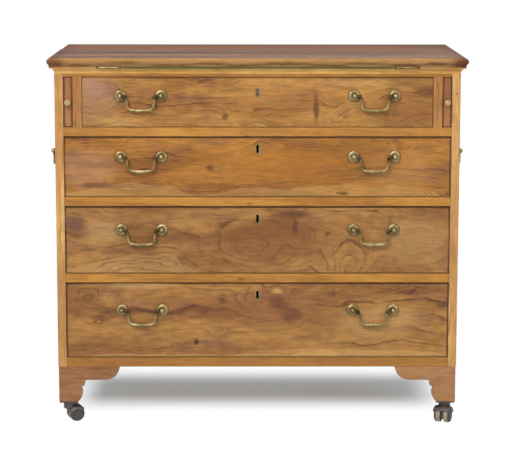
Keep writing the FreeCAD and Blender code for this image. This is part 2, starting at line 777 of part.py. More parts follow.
def plain_outline():
    """Outline of a plain back bracket with a sloping end."""
    return profile(V(0, 0, 0), V(TOE_L, 0, 0), V(BACK_FOOT_L, 0, FOOT_H), V(0, 0, FOOT_H))


def feet():
    """The front feet, the back feet and the corner blocks inside them."""
    corner = V(-CASE_W / 2 + FOOT_INSET, FRONT_Y + FOOT_INSET, FOOT_Z)
    face = foot_bracket(scrolled_outline())
    flank = face.mirror(V(0, 0, 0), V(1, -1, 0))
    rear = foot_bracket(plain_outline())
    block_h = BASE_TOP - BOTTOM_T - FOOT_Z
    block = Part.makeBox(FOOT_BLOCK, FOOT_BLOCK, block_h, V(FOOT_T, FOOT_T, 0))
    for shape in (face, flank, rear, block):
        shape.translate(corner)
    front_left = [face, flank]
    back_left = [to_back(rear), to_back(flank)]
    blocks = [block, to_back(block)]
    return both_sides(front_left), both_sides(back_left), both_sides(blocks)


def castor_plate():
    """A castor's plate with its king pin, about the swivel axis."""
    half = CASTOR_PLATE_W / 2
    plate = box(-half, half, -half, half, FOOT_Z - CASTOR_PLATE_T, FOOT_Z)
    low = FOOT_Z - CASTOR_PLATE_T - KING_PIN_L
    return plate.fuse(cylinder(KING_PIN_R, V(0, 0, low), V(0, 0, FOOT_Z - CASTOR_PLATE_T)))


def castor_hood():
    """A castor's hood, trailing towards +X: neck barrel, web between the wheels and a canopy over them."""
    hub = V(CASTOR_TRAIL, 0, AXLE_Z)
    width = WEB_T + 3 * WHEEL_GAP + 2 * WHEEL_W

    def at(radius, angle, y):
        turn = math.radians(angle)
        return hub + V(radius * math.cos(turn), y, radius * math.sin(turn))

    inner = CANOPY_R - CANOPY_T
    rim_r = WHEEL_R - WHEEL_ROUND
    rim_y = width / 2 - WHEEL_GAP - WHEEL_ROUND
    under = WHEEL_ROUND + WHEEL_GAP
    over = under + CANOPY_T
    diagonal = math.sqrt(0.5)

    def rim(side, round_r):
        start = at(rim_r, CANOPY_FROM, side * (rim_y + round_r))
        middle = at(rim_r + round_r * diagonal, CANOPY_FROM, side * (rim_y + round_r * diagonal))
        return start, middle, at(rim_r + round_r, CANOPY_FROM, side * rim_y)

    left_start, left_mid, left_top = rim(-1, under)
    right_start, right_mid, right_top = rim(1, under)
    outer_left, outer_left_mid, outer_left_top = rim(-1, over)
    outer_right, outer_right_mid, outer_right_top = rim(1, over)
    shell = profile(
        left_start,
        (left_mid, left_top),
        right_top,
        (right_mid, right_start),
        outer_right,
        (outer_right_mid, outer_right_top),
        outer_left_top,
        (outer_left_mid, outer_left),
    )
    canopy = shell.revolve(hub, Y_AXIS, CANOPY_FROM - CANOPY_TO)
    neck_top = FOOT_Z - CASTOR_PLATE_T - REST_GAP
    neck_low = AXLE_Z + CANOPY_R - NECK_SINK
    web_start = V(-NECK_BARREL_R / 2, -WEB_T / 2, neck_low)
    web = profile(
        web_start,
        at(WEB_R, WEB_FOOT_ANGLE, -WEB_T / 2),
        (at(WEB_R, DOWN, -WEB_T / 2), at(WEB_R, 0, -WEB_T / 2)),
        at(CANOPY_R - CANOPY_T / 2, WEB_REACH_ANGLE, -WEB_T / 2),
        at(CANOPY_R - CANOPY_T / 2, UP, -WEB_T / 2),
    ).extrude(V(0, WEB_T, 0))
    neck = cylinder(NECK_BARREL_R, V(0, 0, neck_low), V(0, 0, neck_top))
    wheel_room = [
        cylinder(inner, hub + V(0, side * WEB_T / 2, 0), hub + V(0, side * width, 0)) for side in (-1, 1)
    ]
    hood = neck.cut(wheel_room).fuse([canopy, web]).removeSplitter()
    bore = cylinder(KING_PIN_R + TURN_GAP, V(0, 0, neck_top - KING_PIN_L), V(0, 0, neck_top))
    axle_bore = cylinder(AXLE_R + TURN_GAP, hub - V(0, width, 0), hub + V(0, width, 0))
    return hood.cut([bore, axle_bore])


def castor_wheels():
    """A castor's two wheels and the axle that they turn with, trailing towards +X."""
    hub = V(CASTOR_TRAIL, 0, AXLE_Z)
    inner = WEB_T / 2 + WHEEL_GAP / 2
    outer = inner + WHEEL_W
    in_from_rim = WHEEL_ROUND * (1 - math.sqrt(0.5))

    def at(r, y):
        return hub + V(0, y, r)

    section = profile(
        at(AXLE_R + PRESS_GAP, inner),
        at(WHEEL_R - WHEEL_CHAMFER, inner),
        at(WHEEL_R, inner + WHEEL_CHAMFER),
        at(WHEEL_R, outer - WHEEL_ROUND),
        (at(WHEEL_R - in_from_rim, outer - in_from_rim), at(WHEEL_R - WHEEL_ROUND, outer)),
        at(AXLE_R + PRESS_GAP, outer),
    )
    wheel = section.revolve(hub, Y_AXIS, 360)
    axle = cylinder(AXLE_R, hub - V(0, outer, 0), hub + V(0, outer, 0))
    return Part.makeCompound([wheel, wheel.mirror(hub, Y_AXIS), axle])


def castor_places():
    """Each castor's name, place under its foot and the way it trails, in degrees from +X."""
    inset = FOOT_INSET + (FOOT_T + FOOT_BLOCK) / 2
    x = CASE_W / 2 - inset
    front = FRONT_Y + inset
    back = BACK_Y - inset
    places = {
        "front_left": (-x, front, SWIVEL_FRONT_LEFT),
        "front_right": (x, front, SWIVEL_RIGHT),
        "back_left": (-x, back, SWIVEL_BACK_LEFT),
        "back_right": (x, back, SWIVEL_RIGHT),
    }
    for name, (place_x, y, trail) in places.items():
        yield name, FreeCAD.Placement(V(place_x, y, 0), FreeCAD.Rotation(Z_AXIS, trail))


def case_nodes():
    """The nodes of the case itself."""
    side = case_side()
    front_feet, back_feet, blocks = feet()
    return {
        "side_left": side,
        "side_right": across(side),
        "top_rail": top_rail(),
        "drawer_rails": drawer_rails(),
        "base_rail": rail(BASE_TOP, BASE_RAIL_H, BASE_RAIL_T, BOTTOM_T),
        "bottom_board": bottom_board(),
        "dust_boards": dust_boards(),
        "back_boards": back_boards(),
        "kicker_strips": kicker_strips(),
        "loper_partitions": both_sides([loper_partition()]),
        "drawer_stops": drawer_stops(),
        "front_feet": front_feet,
        "back_feet": back_feet,
        "foot_blocks": blocks,
    }


def top_nodes():
    """The nodes of the fixed top, the leaf and the lopers."""
    lower_plates, upper_plates = hinges()
    support = loper()
    knob = loper_knob()
    return {
        "fixed_top": fixed_top(),
        "fixed_top_baize": baize(SEAM_Z - BAIZE_RECESS, BAIZE_T),
        "hinge_lower_plates": lower_plates,
        "fold_leaf": fold_leaf(),
        "fold_leaf_baize": baize(SEAM_Z + BAIZE_RECESS - BAIZE_T, BAIZE_T),
        "hinge_upper_plates": upper_plates,
        "loper_left": across(support),
        "loper_right": support,
        "loper_knob_left": across(knob),
        "loper_knob_right": knob,
    }


def drawer_nodes():
    """The nodes of the four drawers and their bails."""
    nodes = {}
    hanging = bail(PIVOT_STAND)
    for number in DRAWERS:
        front, carcase, brasses, bolt = drawer(number)
        nodes[f"drawer_{number}_front"] = front
        nodes[f"drawer_{number}_box"] = carcase
        nodes[f"drawer_{number}_brasses"] = brasses
        nodes[f"drawer_{number}_lock_bolt"] = bolt
        for side, x in (("left", -HANDLE_X), ("right", HANDLE_X)):
            place = FreeCAD.Placement(V(x, FRONT_Y, handle_level(number)), FreeCAD.Rotation())
            nodes[f"drawer_{number}_bail_{side}"] = placed(hanging, place)
    return nodes


def side_handle_nodes():
    """The nodes of the carrying handles on the case sides."""
    posts = [placed(shape, side_place()) for shape in pommel_pair(SIDE_PIVOT_STAND)]
    hanging = placed(bail(SIDE_PIVOT_STAND), side_place())
    return {
        "side_handle_pommels": both_sides(posts),
        "side_bail_left": hanging,
        "side_bail_right": across(hanging),
    }


def castor_nodes():
    """The nodes of the four castors."""
    nodes = {}
    plates = []
    for name, place in castor_places():
        plates.append(placed(castor_plate(), FreeCAD.Placement(place.Base, FreeCAD.Rotation())))
        nodes[f"castor_hood_{name}"] = placed(castor_hood(), place)
        nodes[f"castor_wheels_{name}"] = placed(castor_wheels(), place)
    nodes["castor_plates"] = Part.makeCompound(plates)
    return nodes


def main():
    """Builds every node and writes it to its own file."""
    os.makedirs("parts", exist_ok=True)
    nodes = case_nodes() | top_nodes() | drawer_nodes() | side_handle_nodes() | castor_nodes()
    for name, shape in nodes.items():
        shape.exportStep(os.path.join("parts", f"{name}.step"))


main()
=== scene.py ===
"""Dresses the chest: figured and plain woods, aged brass, baize and castors, in a plain white studio."""

import json
import logging
import math
from dataclasses import dataclass
from enum import Enum

import bmesh
import bpy
import numpy as np
from mathutils import Euler, Matrix, Vector


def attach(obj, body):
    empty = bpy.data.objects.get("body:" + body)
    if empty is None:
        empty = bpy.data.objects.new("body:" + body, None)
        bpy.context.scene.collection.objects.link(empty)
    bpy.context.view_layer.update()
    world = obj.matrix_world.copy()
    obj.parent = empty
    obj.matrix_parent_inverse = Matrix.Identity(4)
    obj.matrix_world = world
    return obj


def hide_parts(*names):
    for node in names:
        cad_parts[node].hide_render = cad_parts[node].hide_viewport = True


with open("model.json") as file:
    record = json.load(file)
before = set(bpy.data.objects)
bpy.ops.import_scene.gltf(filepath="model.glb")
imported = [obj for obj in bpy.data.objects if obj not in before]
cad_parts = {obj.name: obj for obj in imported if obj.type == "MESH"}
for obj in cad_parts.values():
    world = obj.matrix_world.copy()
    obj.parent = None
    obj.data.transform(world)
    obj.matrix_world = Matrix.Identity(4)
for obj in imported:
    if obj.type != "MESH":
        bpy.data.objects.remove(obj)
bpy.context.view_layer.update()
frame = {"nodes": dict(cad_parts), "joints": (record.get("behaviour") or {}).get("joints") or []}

LOG = logging.getLogger("chest")
MM = 0.001
FRONT_Y = -235.45
# Painted shade in the gaps round the drawer fronts and the lopers, and the softness of its edges in mm.
GAP_SHADE, GAP_SHADE_SOFT = "#2A150C", 0.35
BRASS = ("#A5936B", "#7A683F")
SHARP_ANGLE = math.radians(40)

Colour = tuple[float, float, float, float]
Triple = tuple[float, float, float]
Material = bpy.types.Material
Socket = bpy.types.NodeSocket


def linear(code: str) -> Colour:
    """Turns an sRGB hex colour into linear light.

    Args:
        code: Six hex digits after a hash sign.

    Returns:
        Red, green, blue and an alpha of one; each channel below 0.04045 is divided by 12.92, and the rest
        follow the 2.4 power of the standard curve.
    """
    channels = [int(code[i : i + 2], 16) / 255 for i in (1, 3, 5)]
    curved = [c / 12.92 if c <= 0.04045 else ((c + 0.055) / 1.055) ** 2.4 for c in channels]
    return (*curved, 1.0)


class Graph:
    """One shader tree, with a single way to add a node to it and short names for the usual ones."""

    EYE_RAYS = ("Camera", "Glossy", "Transmission")

    def __init__(self, owner: Material | bpy.types.World) -> None:
        """Empties a tree.

        Args:
            owner: The material or world that has it.
        """
        owner.use_nodes = True
        self.owner = owner
        self.tree = owner.node_tree
        self.tree.nodes.clear()

    def add(self, kind: str, inputs: dict, out: int | str = 0, **settings: object) -> Socket | None:
        """Adds one node with its settings and links.

        Args:
            kind: The node's type without its common prefix.
            inputs: A value or a linked output for each input, by name or number.
            out: The output to give back.
            settings: The node's own properties, and a curve's points as its stations.

        Returns:
            The chosen output, or nothing for a node without outputs.
        """
        node = self.tree.nodes.new("ShaderNode" + kind)
        stations = settings.pop("stations", ())
        for key, value in settings.items():
            setattr(node, key, value)
        if stations:
            points = node.mapping.curves[0].points
            points[0].location, points[1].location = stations[0], stations[-1]
            for place in stations[1:-1]:
                points.new(*place)
            node.mapping.update()
        for key, value in inputs.items():
            if isinstance(value, Socket):
                self.tree.links.new(value, node.inputs[key])
            else:
                node.inputs[key].default_value = value
        return node.outputs[out] if len(node.outputs) else None

    def spot(self) -> Socket:
        """Each point's place on the unmoved piece, in mm."""
        return self.scaled(self.add("TexCoord", {}, "Object"), 1 / MM)

    def split(self, vector: Socket) -> tuple[Socket, ...]:
        """The three parts of a vector."""
        return tuple(self.add("SeparateXYZ", {0: vector}, axis) for axis in "XYZ")

    def calc(self, operation: str, *values: Socket | float) -> Socket:
        """Arithmetic with values."""
        return self.add("Math", dict(enumerate(values)), operation=operation)

    def vector(self, operation: str, *values: Socket | Triple) -> Socket:
        """Arithmetic with vectors."""
        return self.add("VectorMath", dict(enumerate(values)), operation=operation)

    def scaled(self, vector: Socket, factor: Socket | float) -> Socket:
        """A vector or a colour times a factor."""
        return self.add("VectorMath", {0: vector, "Scale": factor}, operation="SCALE")

    def ball(self, place: Socket, centre: Triple, radius: Triple, kind: str) -> Socket:
        """A gradient that falls from one at a centre to nothing at its radii."""
        scale, start = zip(*((1 / r, -c / r) for c, r in zip(centre, radius)))
        return self.add("TexGradient", {0: self.vector("MULTIPLY_ADD", place, scale, start)}, 1, gradient_type=kind)

    def span(
        self, value: Socket, low: float, high: float, start: float, end: float, kind: str = "SMOOTHSTEP"
    ) -> Socket:
        """A step of a value from one span to another, smooth unless its kind says otherwise."""
        limits = {"Value": value, "From Min": low, "From Max": high, "To Min": start, "To Max": end}
        return self.add("MapRange", limits, interpolation_type=kind)

    def noise(self, place: Socket, scale: float, detail: float, roughness: float = 0.5, out: int = 0) -> Socket:
        """Noise about one half, or its colour as the second output."""
        inputs = {"Vector": place, "Scale": scale, "Detail": detail, "Roughness": roughness}
        return self.add("TexNoise", inputs, out)

    def mix(self, cover: Socket, first: Socket | str, second: str) -> Socket:
        """A colour turned towards another by a cover, where a code stands for its colour."""
        start = linear(first) if isinstance(first, str) else first
        return self.add("Mix", {0: cover, 6: start, 7: linear(second)}, 2, data_type="RGBA")

    def relief(self, height: Socket, strength: float, depth: float) -> Socket:
        """A bumped normal, its depth in mm."""
        return self.add("Bump", {"Height": height, "Strength": strength, "Distance": depth * MM})

    def seen(self) -> Socket:
        """One for rays from the eye, also by way of a mirror or glass, and nothing for other light."""
        direct, mirrored, passed = (self.add("LightPath", {}, f"Is {kind} Ray") for kind in self.EYE_RAYS)
        return self.calc("MAXIMUM", self.calc("MAXIMUM", direct, mirrored), passed)

    def close(self, inputs: dict) -> Material:
        """Ends the tree with a plain shader of these inputs, and gives back its owner."""
        self.add("OutputMaterial", {"Surface": self.add("BsdfPrincipled", inputs)})
        return self.owner


class Grain(Enum):
    """The way a board's fibres run, and the way its growth lines lie across them."""

    LEVEL = ((1, 0, 0), (0.05, 0.6, 1.0))
    UPRIGHT = ((0, 0, 1), (1.0, 0.75, 0.04))

    def stretch(self, length: float, width: float) -> Triple:
        """Scales of a pattern that repeats over a length along the fibres and a width across them, in mm."""
        return tuple(1 / length if along else 1 / width for along in self.value[0])

    def lines(self, pitch: float) -> Triple:
        """Direction across the growth lines, as lines per mm."""
        return tuple(part / pitch for part in self.value[1])


@dataclass(frozen=True)
class Eye:
    """A swirl in the figure: rings round a point on the front, in mm, and how dark its middle is."""

    x: float
    z: float
    rx: float
    rz: float
    rings: float
    dark: float = 0.0


@dataclass(frozen=True)
class Patch:
    """A soft-edged oval of another tone, in mm."""

    centre: Triple
    radius: Triple
    colour: str
    strength: float


@dataclass(frozen=True)
class Band:
    """A stretch of a board between two planes across one axis, in mm, toned towards a colour."""

    axis: str
    low: float
    high: float
    colour: str
    strength: float
    soft: float


def marks(y: float, depth: float, *rows: tuple) -> tuple[Patch, ...]:
    """Patches on a face at a depth, from rows of place across and up, radii, colour and strength."""
    return tuple(Patch((x, y, z), (rx, depth, rz), *tone) for x, z, rx, rz, *tone in rows)


def stripes(*rows: tuple) -> tuple[Band, ...]:
    """Bands from rows of their values."""
    return tuple(Band(*row) for row in rows)


@dataclass(frozen=True)
class Figure:
    """Growth lines drawn across a board, from the bottom one up, in mm.

    Each line is given by its heights at even stations from the left end to the right one. The counts say how many
    lines lie between each two drawn ones, and the pitches how far apart they lie below the first and above the last.
    The foot is the colour of the sapwood below the first line.
    """

    half: float
    low: float
    high: float
    heights: tuple[tuple[float, ...], ...]
    counts: tuple[float, ...]
    pitches: tuple[float, float]
    foot: str
    foot_strength: float
    # Strengths of the painted gap shade at the front's sides and at its top.
    shade_sides: float = 0.8
    shade_top: float = 0.95

    def field(self, g: Graph, x: Socket, z: Socket) -> Socket:
        """The number of lines below a point.

        The point's height is measured between the two drawn lines that it lies between, and each stretch adds its
        count of lines; outside them the distance is divided by the pitch.

        Args:
            g: The tree that takes the nodes.
            x: Distance along the board.
            z: Height on the board.

        Returns:
            The field.
        """
        rise = self.high - self.low
        along = g.span(x, -self.half, self.half, 0.0, 1.0, "LINEAR")
        up = g.add("MapRange", {"Value": z, "From Min": self.low, "From Max": self.high}, clamp=False)
        lines = []
        for row in self.heights:
            stations = [(i / (len(row) - 1), (height - self.low) / rise) for i, height in enumerate(row)]
            lines.append(g.add("FloatCurve", {"Value": along}, stations=stations))
        under = g.calc("MINIMUM", g.calc("SUBTRACT", up, lines[0]), 0.0)
        field = g.calc("MULTIPLY", under, rise / self.pitches[0])
        for lower, upper, count in zip(lines, lines[1:], self.counts):
            limits = {"Value": up, "From Min": lower, "From Max": upper, "To Max": count}
            field = g.calc("ADD", field, g.add("MapRange", limits))
        over = g.calc("MAXIMUM", g.calc("SUBTRACT", up, lines[-1]), 0.0)
        return g.calc("MULTIPLY_ADD", over, rise / self.pitches[1], field)

    def gap_shade(self) -> tuple[Band, ...]:
        """Painted shade along the board's four edges, where the gaps round a drawer front fall dark.

        Returns:
            Bands just inside the edges, the widest one at the top.
        """
        x, low, high, sides, top = self.half, self.low, self.high, self.shade_sides, self.shade_top
        return stripes(
            ("X", -x + 0.4, -x + 2.8, GAP_SHADE, sides, GAP_SHADE_SOFT),
            ("X", x - 2.8, x - 0.4, GAP_SHADE, sides, GAP_SHADE_SOFT),
            ("Z", high - 3.0, high - 0.4, "#1C0F09", top, GAP_SHADE_SOFT),
            ("Z", low + 0.4, low + 2.0, GAP_SHADE, 0.65 * top, GAP_SHADE_SOFT),
        )


@dataclass(frozen=True)
class Wood:
    """Sawn and waxed hardwood: growth lines, fibres, pores, swirls and patches of tone.

    Waxed wood gives the eye a satin sheen over fibres that run one way, and thin dark lines where each year's
    growth ends, which swirl round knots.
    """

    name: str
    pale: str
    deep: str
    line: str
    smudge: str = "#7A5040"
    grain: Grain = Grain.LEVEL
    pitch: float = 15.0
    sway: float = 3.5
    sway_length: float = 260.0
    ripple: float = 0.8
    faint: float = 0.05
    strong: float = 0.6
    fine: float = 0.16
    late: float = 0.35
    streak: float = 55.0
    streak_length: float = 240.0
    blotch: float = 0.3
    mottle: float = 0.05
    roughness: float = 0.42
    sheen: float = 0.25
    figure: Figure | None = None
    eyes: tuple[Eye, ...] = ()
    patches: tuple[Patch, ...] = ()
    bands: tuple[Band, ...] = ()
    shift: Triple = (0.0, 0.0, 0.0)
    ends_at: float = 0.0

    def build(self) -> Material:
        """Makes the material."""
        return Board(self).g.owner


@dataclass(frozen=True)
class Layer:
    """Noise along the fibres: its length and width in mm, its detail, and the span of its values that counts."""

    length: float
    width: float
    detail: float
    low: float = 0.36
    high: float = 0.64


class Board:
    """The shader tree of one wood while it is made: bent places on the board, its growth field and its tones."""

    STRAY, STRAY_REACH = Layer(110, 40, 2.0), 46.0
    FRAY, FRAY_REACH = Layer(20, 12, 2.0), 9.0
    RIPPLE = Layer(60, 20, 2.0)
    BLOTCH = Layer(90, 36, 6.0, 0.52, 0.7)
    MOTTLE = Layer(30, 14, 4.0, 0.32, 0.68)
    POWER = Layer(190, 55, 1.0)
    BREAKS = Layer(42, 24, 3.0, 0.36, 0.6)
    # Fibres and pores are about 0.3 mm wide on the real wood, and drawn at 1 to 2 mm to show at all.
    FIBRES = Layer(45, 1.6, 2.0, 0.3, 0.7)
    FLECKS = Layer(36, 4.5, 3.0, 0.34, 0.66)
    PORES = Layer(16, 1.1, 1.0, 0.62, 0.74)
    FIBRE_DEPTH, PORE_COVER, SPECK_COVER, SPECK_GAP = 0.08, 0.25, 0.8, 46.0
    SWAY_WIDTH, SWAY_DETAIL, STREAK_DETAIL = 60.0, 1.5, 4.0
    FINE_LINES, SWIRL_SHARE, SMALL_OVAL, FAR = 3.3, 0.75, 26.0, 10000.0
    BREAK_POWER, GLOSS, RELIEF, WAX_IOR = (0.45, 1.05), (-0.06, 0.08), (0.12, 0.4), 1.48
    # Spans of a year's growth, of the field, of an oval or of a cell over which a tone comes or goes.
    LATE, RISE, FALL, FINE = (0.1, 0.95), (0.78, 0.92), (0.94, 1.0), (0.5, 0.95)
    FOOT, SWIRL, KNOT, OVAL, SPECK = (-0.6, 0.02), (0.0, 0.2), (0.2, 0.7), (0.0, 0.5), (0.025, 0.04)

    def __init__(self, wood: Wood) -> None:
        """Makes the tree in order.

        Args:
            wood: The wood's values.
        """
        self.wood, self.g = wood, Graph(bpy.data.materials.new(wood.name))
        self.spot = self.g.spot()
        self.moved = self.g.vector("ADD", self.spot, wood.shift)
        if wood.ends_at:
            self.turn_sides()
        self.bent = self.stray(self.STRAY, self.STRAY_REACH)
        self.ruffled = self.stray(self.FRAY, self.FRAY_REACH)
        self.swirls: list[Socket] = []
        self.knots: list[Socket] = []
        self.grow()
        self.lay_ground()
        self.draw_lines()
        self.mark()
        self.finish()

    def noise(self, layer: Layer, out: int = 0) -> Socket:
        """A layer's noise, stretched along the fibres."""
        place = self.g.vector("MULTIPLY", self.moved, self.wood.grain.stretch(layer.length, layer.width))
        return self.g.noise(place, 1.0, layer.detail, out=out)

    def step(self, layer: Layer, start: float, end: float) -> Socket:
        """A layer's noise, as a smooth step over the span that counts."""
        return self.g.span(self.noise(layer), layer.low, layer.high, start, end)

    def stray(self, layer: Layer, reach: float) -> Socket:
        """Places pushed about by noise, by up to half a reach in mm."""
        push = self.g.vector("SUBTRACT", self.noise(layer, 1), (0.5, 0.5, 0.5))
        return self.g.vector("MULTIPLY_ADD", push, (reach, reach, reach), self.spot)

    def oval(self, centre: Triple, radius: Triple) -> Socket:
        """One at the centre of an oval, falling to nothing at its edge with the square of the distance left."""
        place = self.bent if min(radius) > self.SMALL_OVAL else self.ruffled
        return self.g.ball(place, centre, radius, "QUADRATIC_SPHERE")

    def tone(self, cover: Socket, code: str) -> None:
        """Turns the colour towards another by a cover."""
        self.colour = self.g.mix(cover, self.colour, code)

    def lift(self, height: Socket, count: float) -> None:
        """Raises the growth field by a height times a count of lines."""
        self.field = self.g.calc("MULTIPLY_ADD", height, count, self.field)

    def turn_sides(self) -> None:
        """Turns the fibres backward beyond a distance from the middle, as the sides of a box run."""
        x, y, z = self.g.split(self.moved)
        beside = self.g.calc("GREATER_THAN", self.g.calc("ABSOLUTE", x), self.wood.ends_at)
        across = self.g.add("CombineXYZ", {0: y, 1: x, 2: z})
        self.moved = self.g.add("Mix", {0: beside, 4: self.moved, 5: across}, 1, data_type="VECTOR")

    def grow(self) -> None:
        """Makes the growth field: the distance across the board in lines, bent by noise and raised by each eye."""
        g, wood = self.g, self.wood
        if wood.figure:
            x, _, z = g.split(self.bent)
            self.field = wood.figure.field(g, x, z)
        else:
            across = {0: self.moved, 1: wood.grain.lines(wood.pitch)}
            self.field = g.add("VectorMath", across, "Value", operation="DOT_PRODUCT")
        self.lift(self.noise(Layer(wood.sway_length, self.SWAY_WIDTH, self.SWAY_DETAIL)), wood.sway)
        self.lift(self.noise(self.RIPPLE), wood.ripple)
        for eye in wood.eyes:
            hill = self.oval((eye.x, 0, eye.z), (eye.rx, self.FAR, eye.rz))
            self.lift(hill, eye.rings)
            self.swirls.append(g.span(hill, *self.SWIRL, 0.0, self.SWIRL_SHARE * wood.strong))
            if eye.dark:
                self.knots.append(g.span(hill, *self.KNOT, 0.0, eye.dark))

    def lay_ground(self) -> None:
        """Lays the colour under the lines: streaks of two tones, smudges, mottling and sapwood below a figure."""
        g, wood = self.g, self.wood
        streaks = Layer(wood.streak_length, wood.streak, self.STREAK_DETAIL)
        self.colour = g.mix(self.step(streaks, 0.0, 1.0), wood.pale, wood.deep)
        self.tone(self.step(self.BLOTCH, 0.0, wood.blotch), wood.smudge)
        self.colour = g.scaled(self.colour, self.step(self.MOTTLE, 1 - wood.mottle, 1 + wood.mottle))
        if wood.figure:
            self.tone(g.span(self.field, *self.FOOT, wood.figure.foot_strength, 0.0), wood.figure.foot)

    def draw_lines(self) -> None:
        """Draws the growth lines: thin where the field's fraction nears one, and a tone that deepens up to them."""
        g, wood = self.g, self.wood
        year = g.calc("FRACT", self.field)
        power = self.step(self.POWER, wood.faint, wood.strong)
        for swirl in self.swirls:
            power = g.calc("MAXIMUM", power, swirl)
        power = g.calc("MULTIPLY", power, self.step(self.BREAKS, *self.BREAK_POWER))
        ridge = g.calc("MULTIPLY", g.span(year, *self.RISE, 0.0, 1.0), g.span(year, *self.FALL, 1.0, 0.0))
        for cover in (g.span(year, *self.LATE, 0.0, wood.late), ridge):
            self.tone(g.calc("MULTIPLY", cover, power), wood.line)
        finer = g.calc("FRACT", g.calc("MULTIPLY", self.field, self.FINE_LINES))
        self.tone(g.span(finer, *self.FINE, 0.0, wood.fine), wood.line)

    def mark(self) -> None:
        """Adds the bands, the patches and the dark middles of the eyes."""
        g, place = self.g, dict(zip("XYZ", self.g.split(self.spot)))
        for band in self.wood.bands:
            across, soft = place[band.axis], band.soft
            first = g.span(across, band.low - soft, band.low + soft, 0.0, 1.0)
            last = g.span(across, band.high - soft, band.high + soft, band.strength, 0.0)
            self.tone(g.calc("MULTIPLY", first, last), band.colour)
        for patch in self.wood.patches:
            oval = self.oval(patch.centre, patch.radius)
            self.tone(g.span(oval, *self.OVAL, 0.0, patch.strength), patch.colour)
        for knot in self.knots:
            self.tone(knot, self.wood.line)

    def finish(self) -> None:
        """Adds fibres, flecks, pores and specks over all the rest, and the shader."""
        g, wood, fibres = self.g, self.wood, self.noise(self.FIBRES)
        low, high = 1 - self.FIBRE_DEPTH, 1 + self.FIBRE_DEPTH
        seen = self.FIBRES.low, self.FIBRES.high
        bright = g.calc("MULTIPLY", g.span(fibres, *seen, low, high), self.step(self.FLECKS, low, high))
        self.colour = g.scaled(self.colour, bright)
        self.tone(self.step(self.PORES, 0.0, self.PORE_COVER), wood.line)
        cells = g.add("TexVoronoi", {"Vector": self.moved, "Scale": 1 / self.SPECK_GAP})
        self.tone(g.span(cells, *self.SPECK, self.SPECK_COVER, 0.0), wood.line)
        gloss = g.span(fibres, *seen, *(wood.roughness + change for change in self.GLOSS))
        look = {"Base Color": self.colour, "Roughness": gloss, "Normal": g.relief(fibres, *self.RELIEF)}
        g.close(look | {"IOR": self.WAX_IOR, "Specular IOR Level": wood.sheen})


@dataclass(frozen=True)
class Metal:
    """Cast brass or enamelled iron: two tones clouded together, with a worn, uneven gloss.

    Old brass gives the eye a greenish brown skin with soft, warm highlights where hands have rubbed it.
    """

    HOLLOW, HOLLOW_R = "#0E0A07", (9.0, 9.5, 18.0)
    # Painted shade with some soiling in hollows: its tone, how far a point looks for cover in mm, and how much it
    # covers.
    DIRT, DIRT_REACH, DIRT_COVER = "#241A0E", 4.0, 0.8
    SKY, CLOUD, SKIN, PITS = (0.45, 0.95), 22.0, (0.35, 0.65), 0.9
    SHINE, GLOSS, RELIEF = (0.3, 0.7), (-0.08, 0.14), (0.05, 0.2)

    name: str
    clean: str
    skin: str
    metallic: float
    roughness: float
    hollow: Triple | None = None

    def build(self) -> Material:
        """Makes broad clouds of skin over clean metal and fine pitting in the gloss.

        Painted shade, with some soiling, darkens the metal where a point sees little of the sky over it, and where
        the piece's own value for it says so. A hollow, where there is one, is the unlit inside of a keyhole, and is
        painted black round that point.

        Returns:
            The material.
        """
        g = Graph(bpy.data.materials.new(self.name))
        spot = g.spot()
        cloud = g.noise(spot, 1 / self.CLOUD, 4.0, 0.6)
        colour = g.mix(g.span(cloud, *self.SKIN, 0.0, 1.0), self.clean, self.skin)
        # Painted shade, with some soiling, where little of the sky reaches a point, and where the piece's own value
        # asks for it.
        open_sky = g.add("AmbientOcclusion", {"Distance": self.DIRT_REACH * MM}, "AO", samples=8)
        nooks = g.span(open_sky, *self.SKY, 1.0, 0.0, "LINEAR")
        shade_and_dirt = g.calc("MAXIMUM", g.add("Attribute", {}, "Fac", attribute_name="shade_and_dirt"), nooks)
        colour = g.mix(g.calc("MULTIPLY", shade_and_dirt, self.DIRT_COVER), colour, self.DIRT)
        if self.hollow:
            inside = g.ball(spot, self.hollow, self.HOLLOW_R, "SPHERICAL")
            colour = g.mix(g.span(inside, 0.0, 0.1, 0.0, 1.0, "LINEAR"), colour, self.HOLLOW)
        gloss = g.span(cloud, *self.SHINE, *(self.roughness + change for change in self.GLOSS), "LINEAR")
        relief = g.relief(g.noise(spot, self.PITS, 3.0), *self.RELIEF)
        return g.close({"Base Color": colour, "Metallic": self.metallic, "Roughness": gloss, "Normal": relief})


@dataclass(frozen=True)
class Rubber:
    """Moulded rubber: a matt tread, scuffed in small flecks."""

    FLECKS = 0.35

    name: str
    base: str
    scuff: str

    def build(self) -> Material:
        """Makes flecks of scuffing over a plain base, with no shine.

        Returns:
            The material.
        """
        g = Graph(bpy.data.materials.new(self.name))
        fleck = g.noise(g.spot(), self.FLECKS, 4.0, 0.65)
        colour = g.mix(g.span(fleck, 0.4, 0.68, 0.0, 1.0), self.base, self.scuff)
        relief = g.relief(fleck, 0.2, 0.3)
        return g.close({"Base Color": colour, "Roughness": 0.72, "IOR": 1.5, "Normal": relief})


@dataclass(frozen=True)
class Felt:
    """Fulled wool baize: a soft nap with no weave to see, faded in clouds."""

    CLOUD, NAP = 130.0, 0.8

    name: str
    base: str
    faded: str

    def build(self) -> Material:
        """Makes clouds of fading, a nap of fine noise and a sheen of raised fibres.

        Returns:
            The material.
        """
        g = Graph(bpy.data.materials.new(self.name))
        spot = g.spot()
        nap = g.noise(spot, self.NAP, 5.0, 0.7)
        cover = g.span(g.noise(spot, 1 / self.CLOUD, 4.0), 0.36, 0.64, 0.0, 1.0)
        lift = g.span(nap, 0.25, 0.75, 0.75, 1.25, "LINEAR")
        colour = g.scaled(g.mix(cover, self.base, self.faded), lift)
        look = {"Base Color": colour, "Roughness": 0.95, "IOR": 1.45, "Normal": g.relief(nap, 0.5, 0.5)}
        return g.close(look | {"Sheen Weight": 0.15, "Sheen Roughness": 0.5})


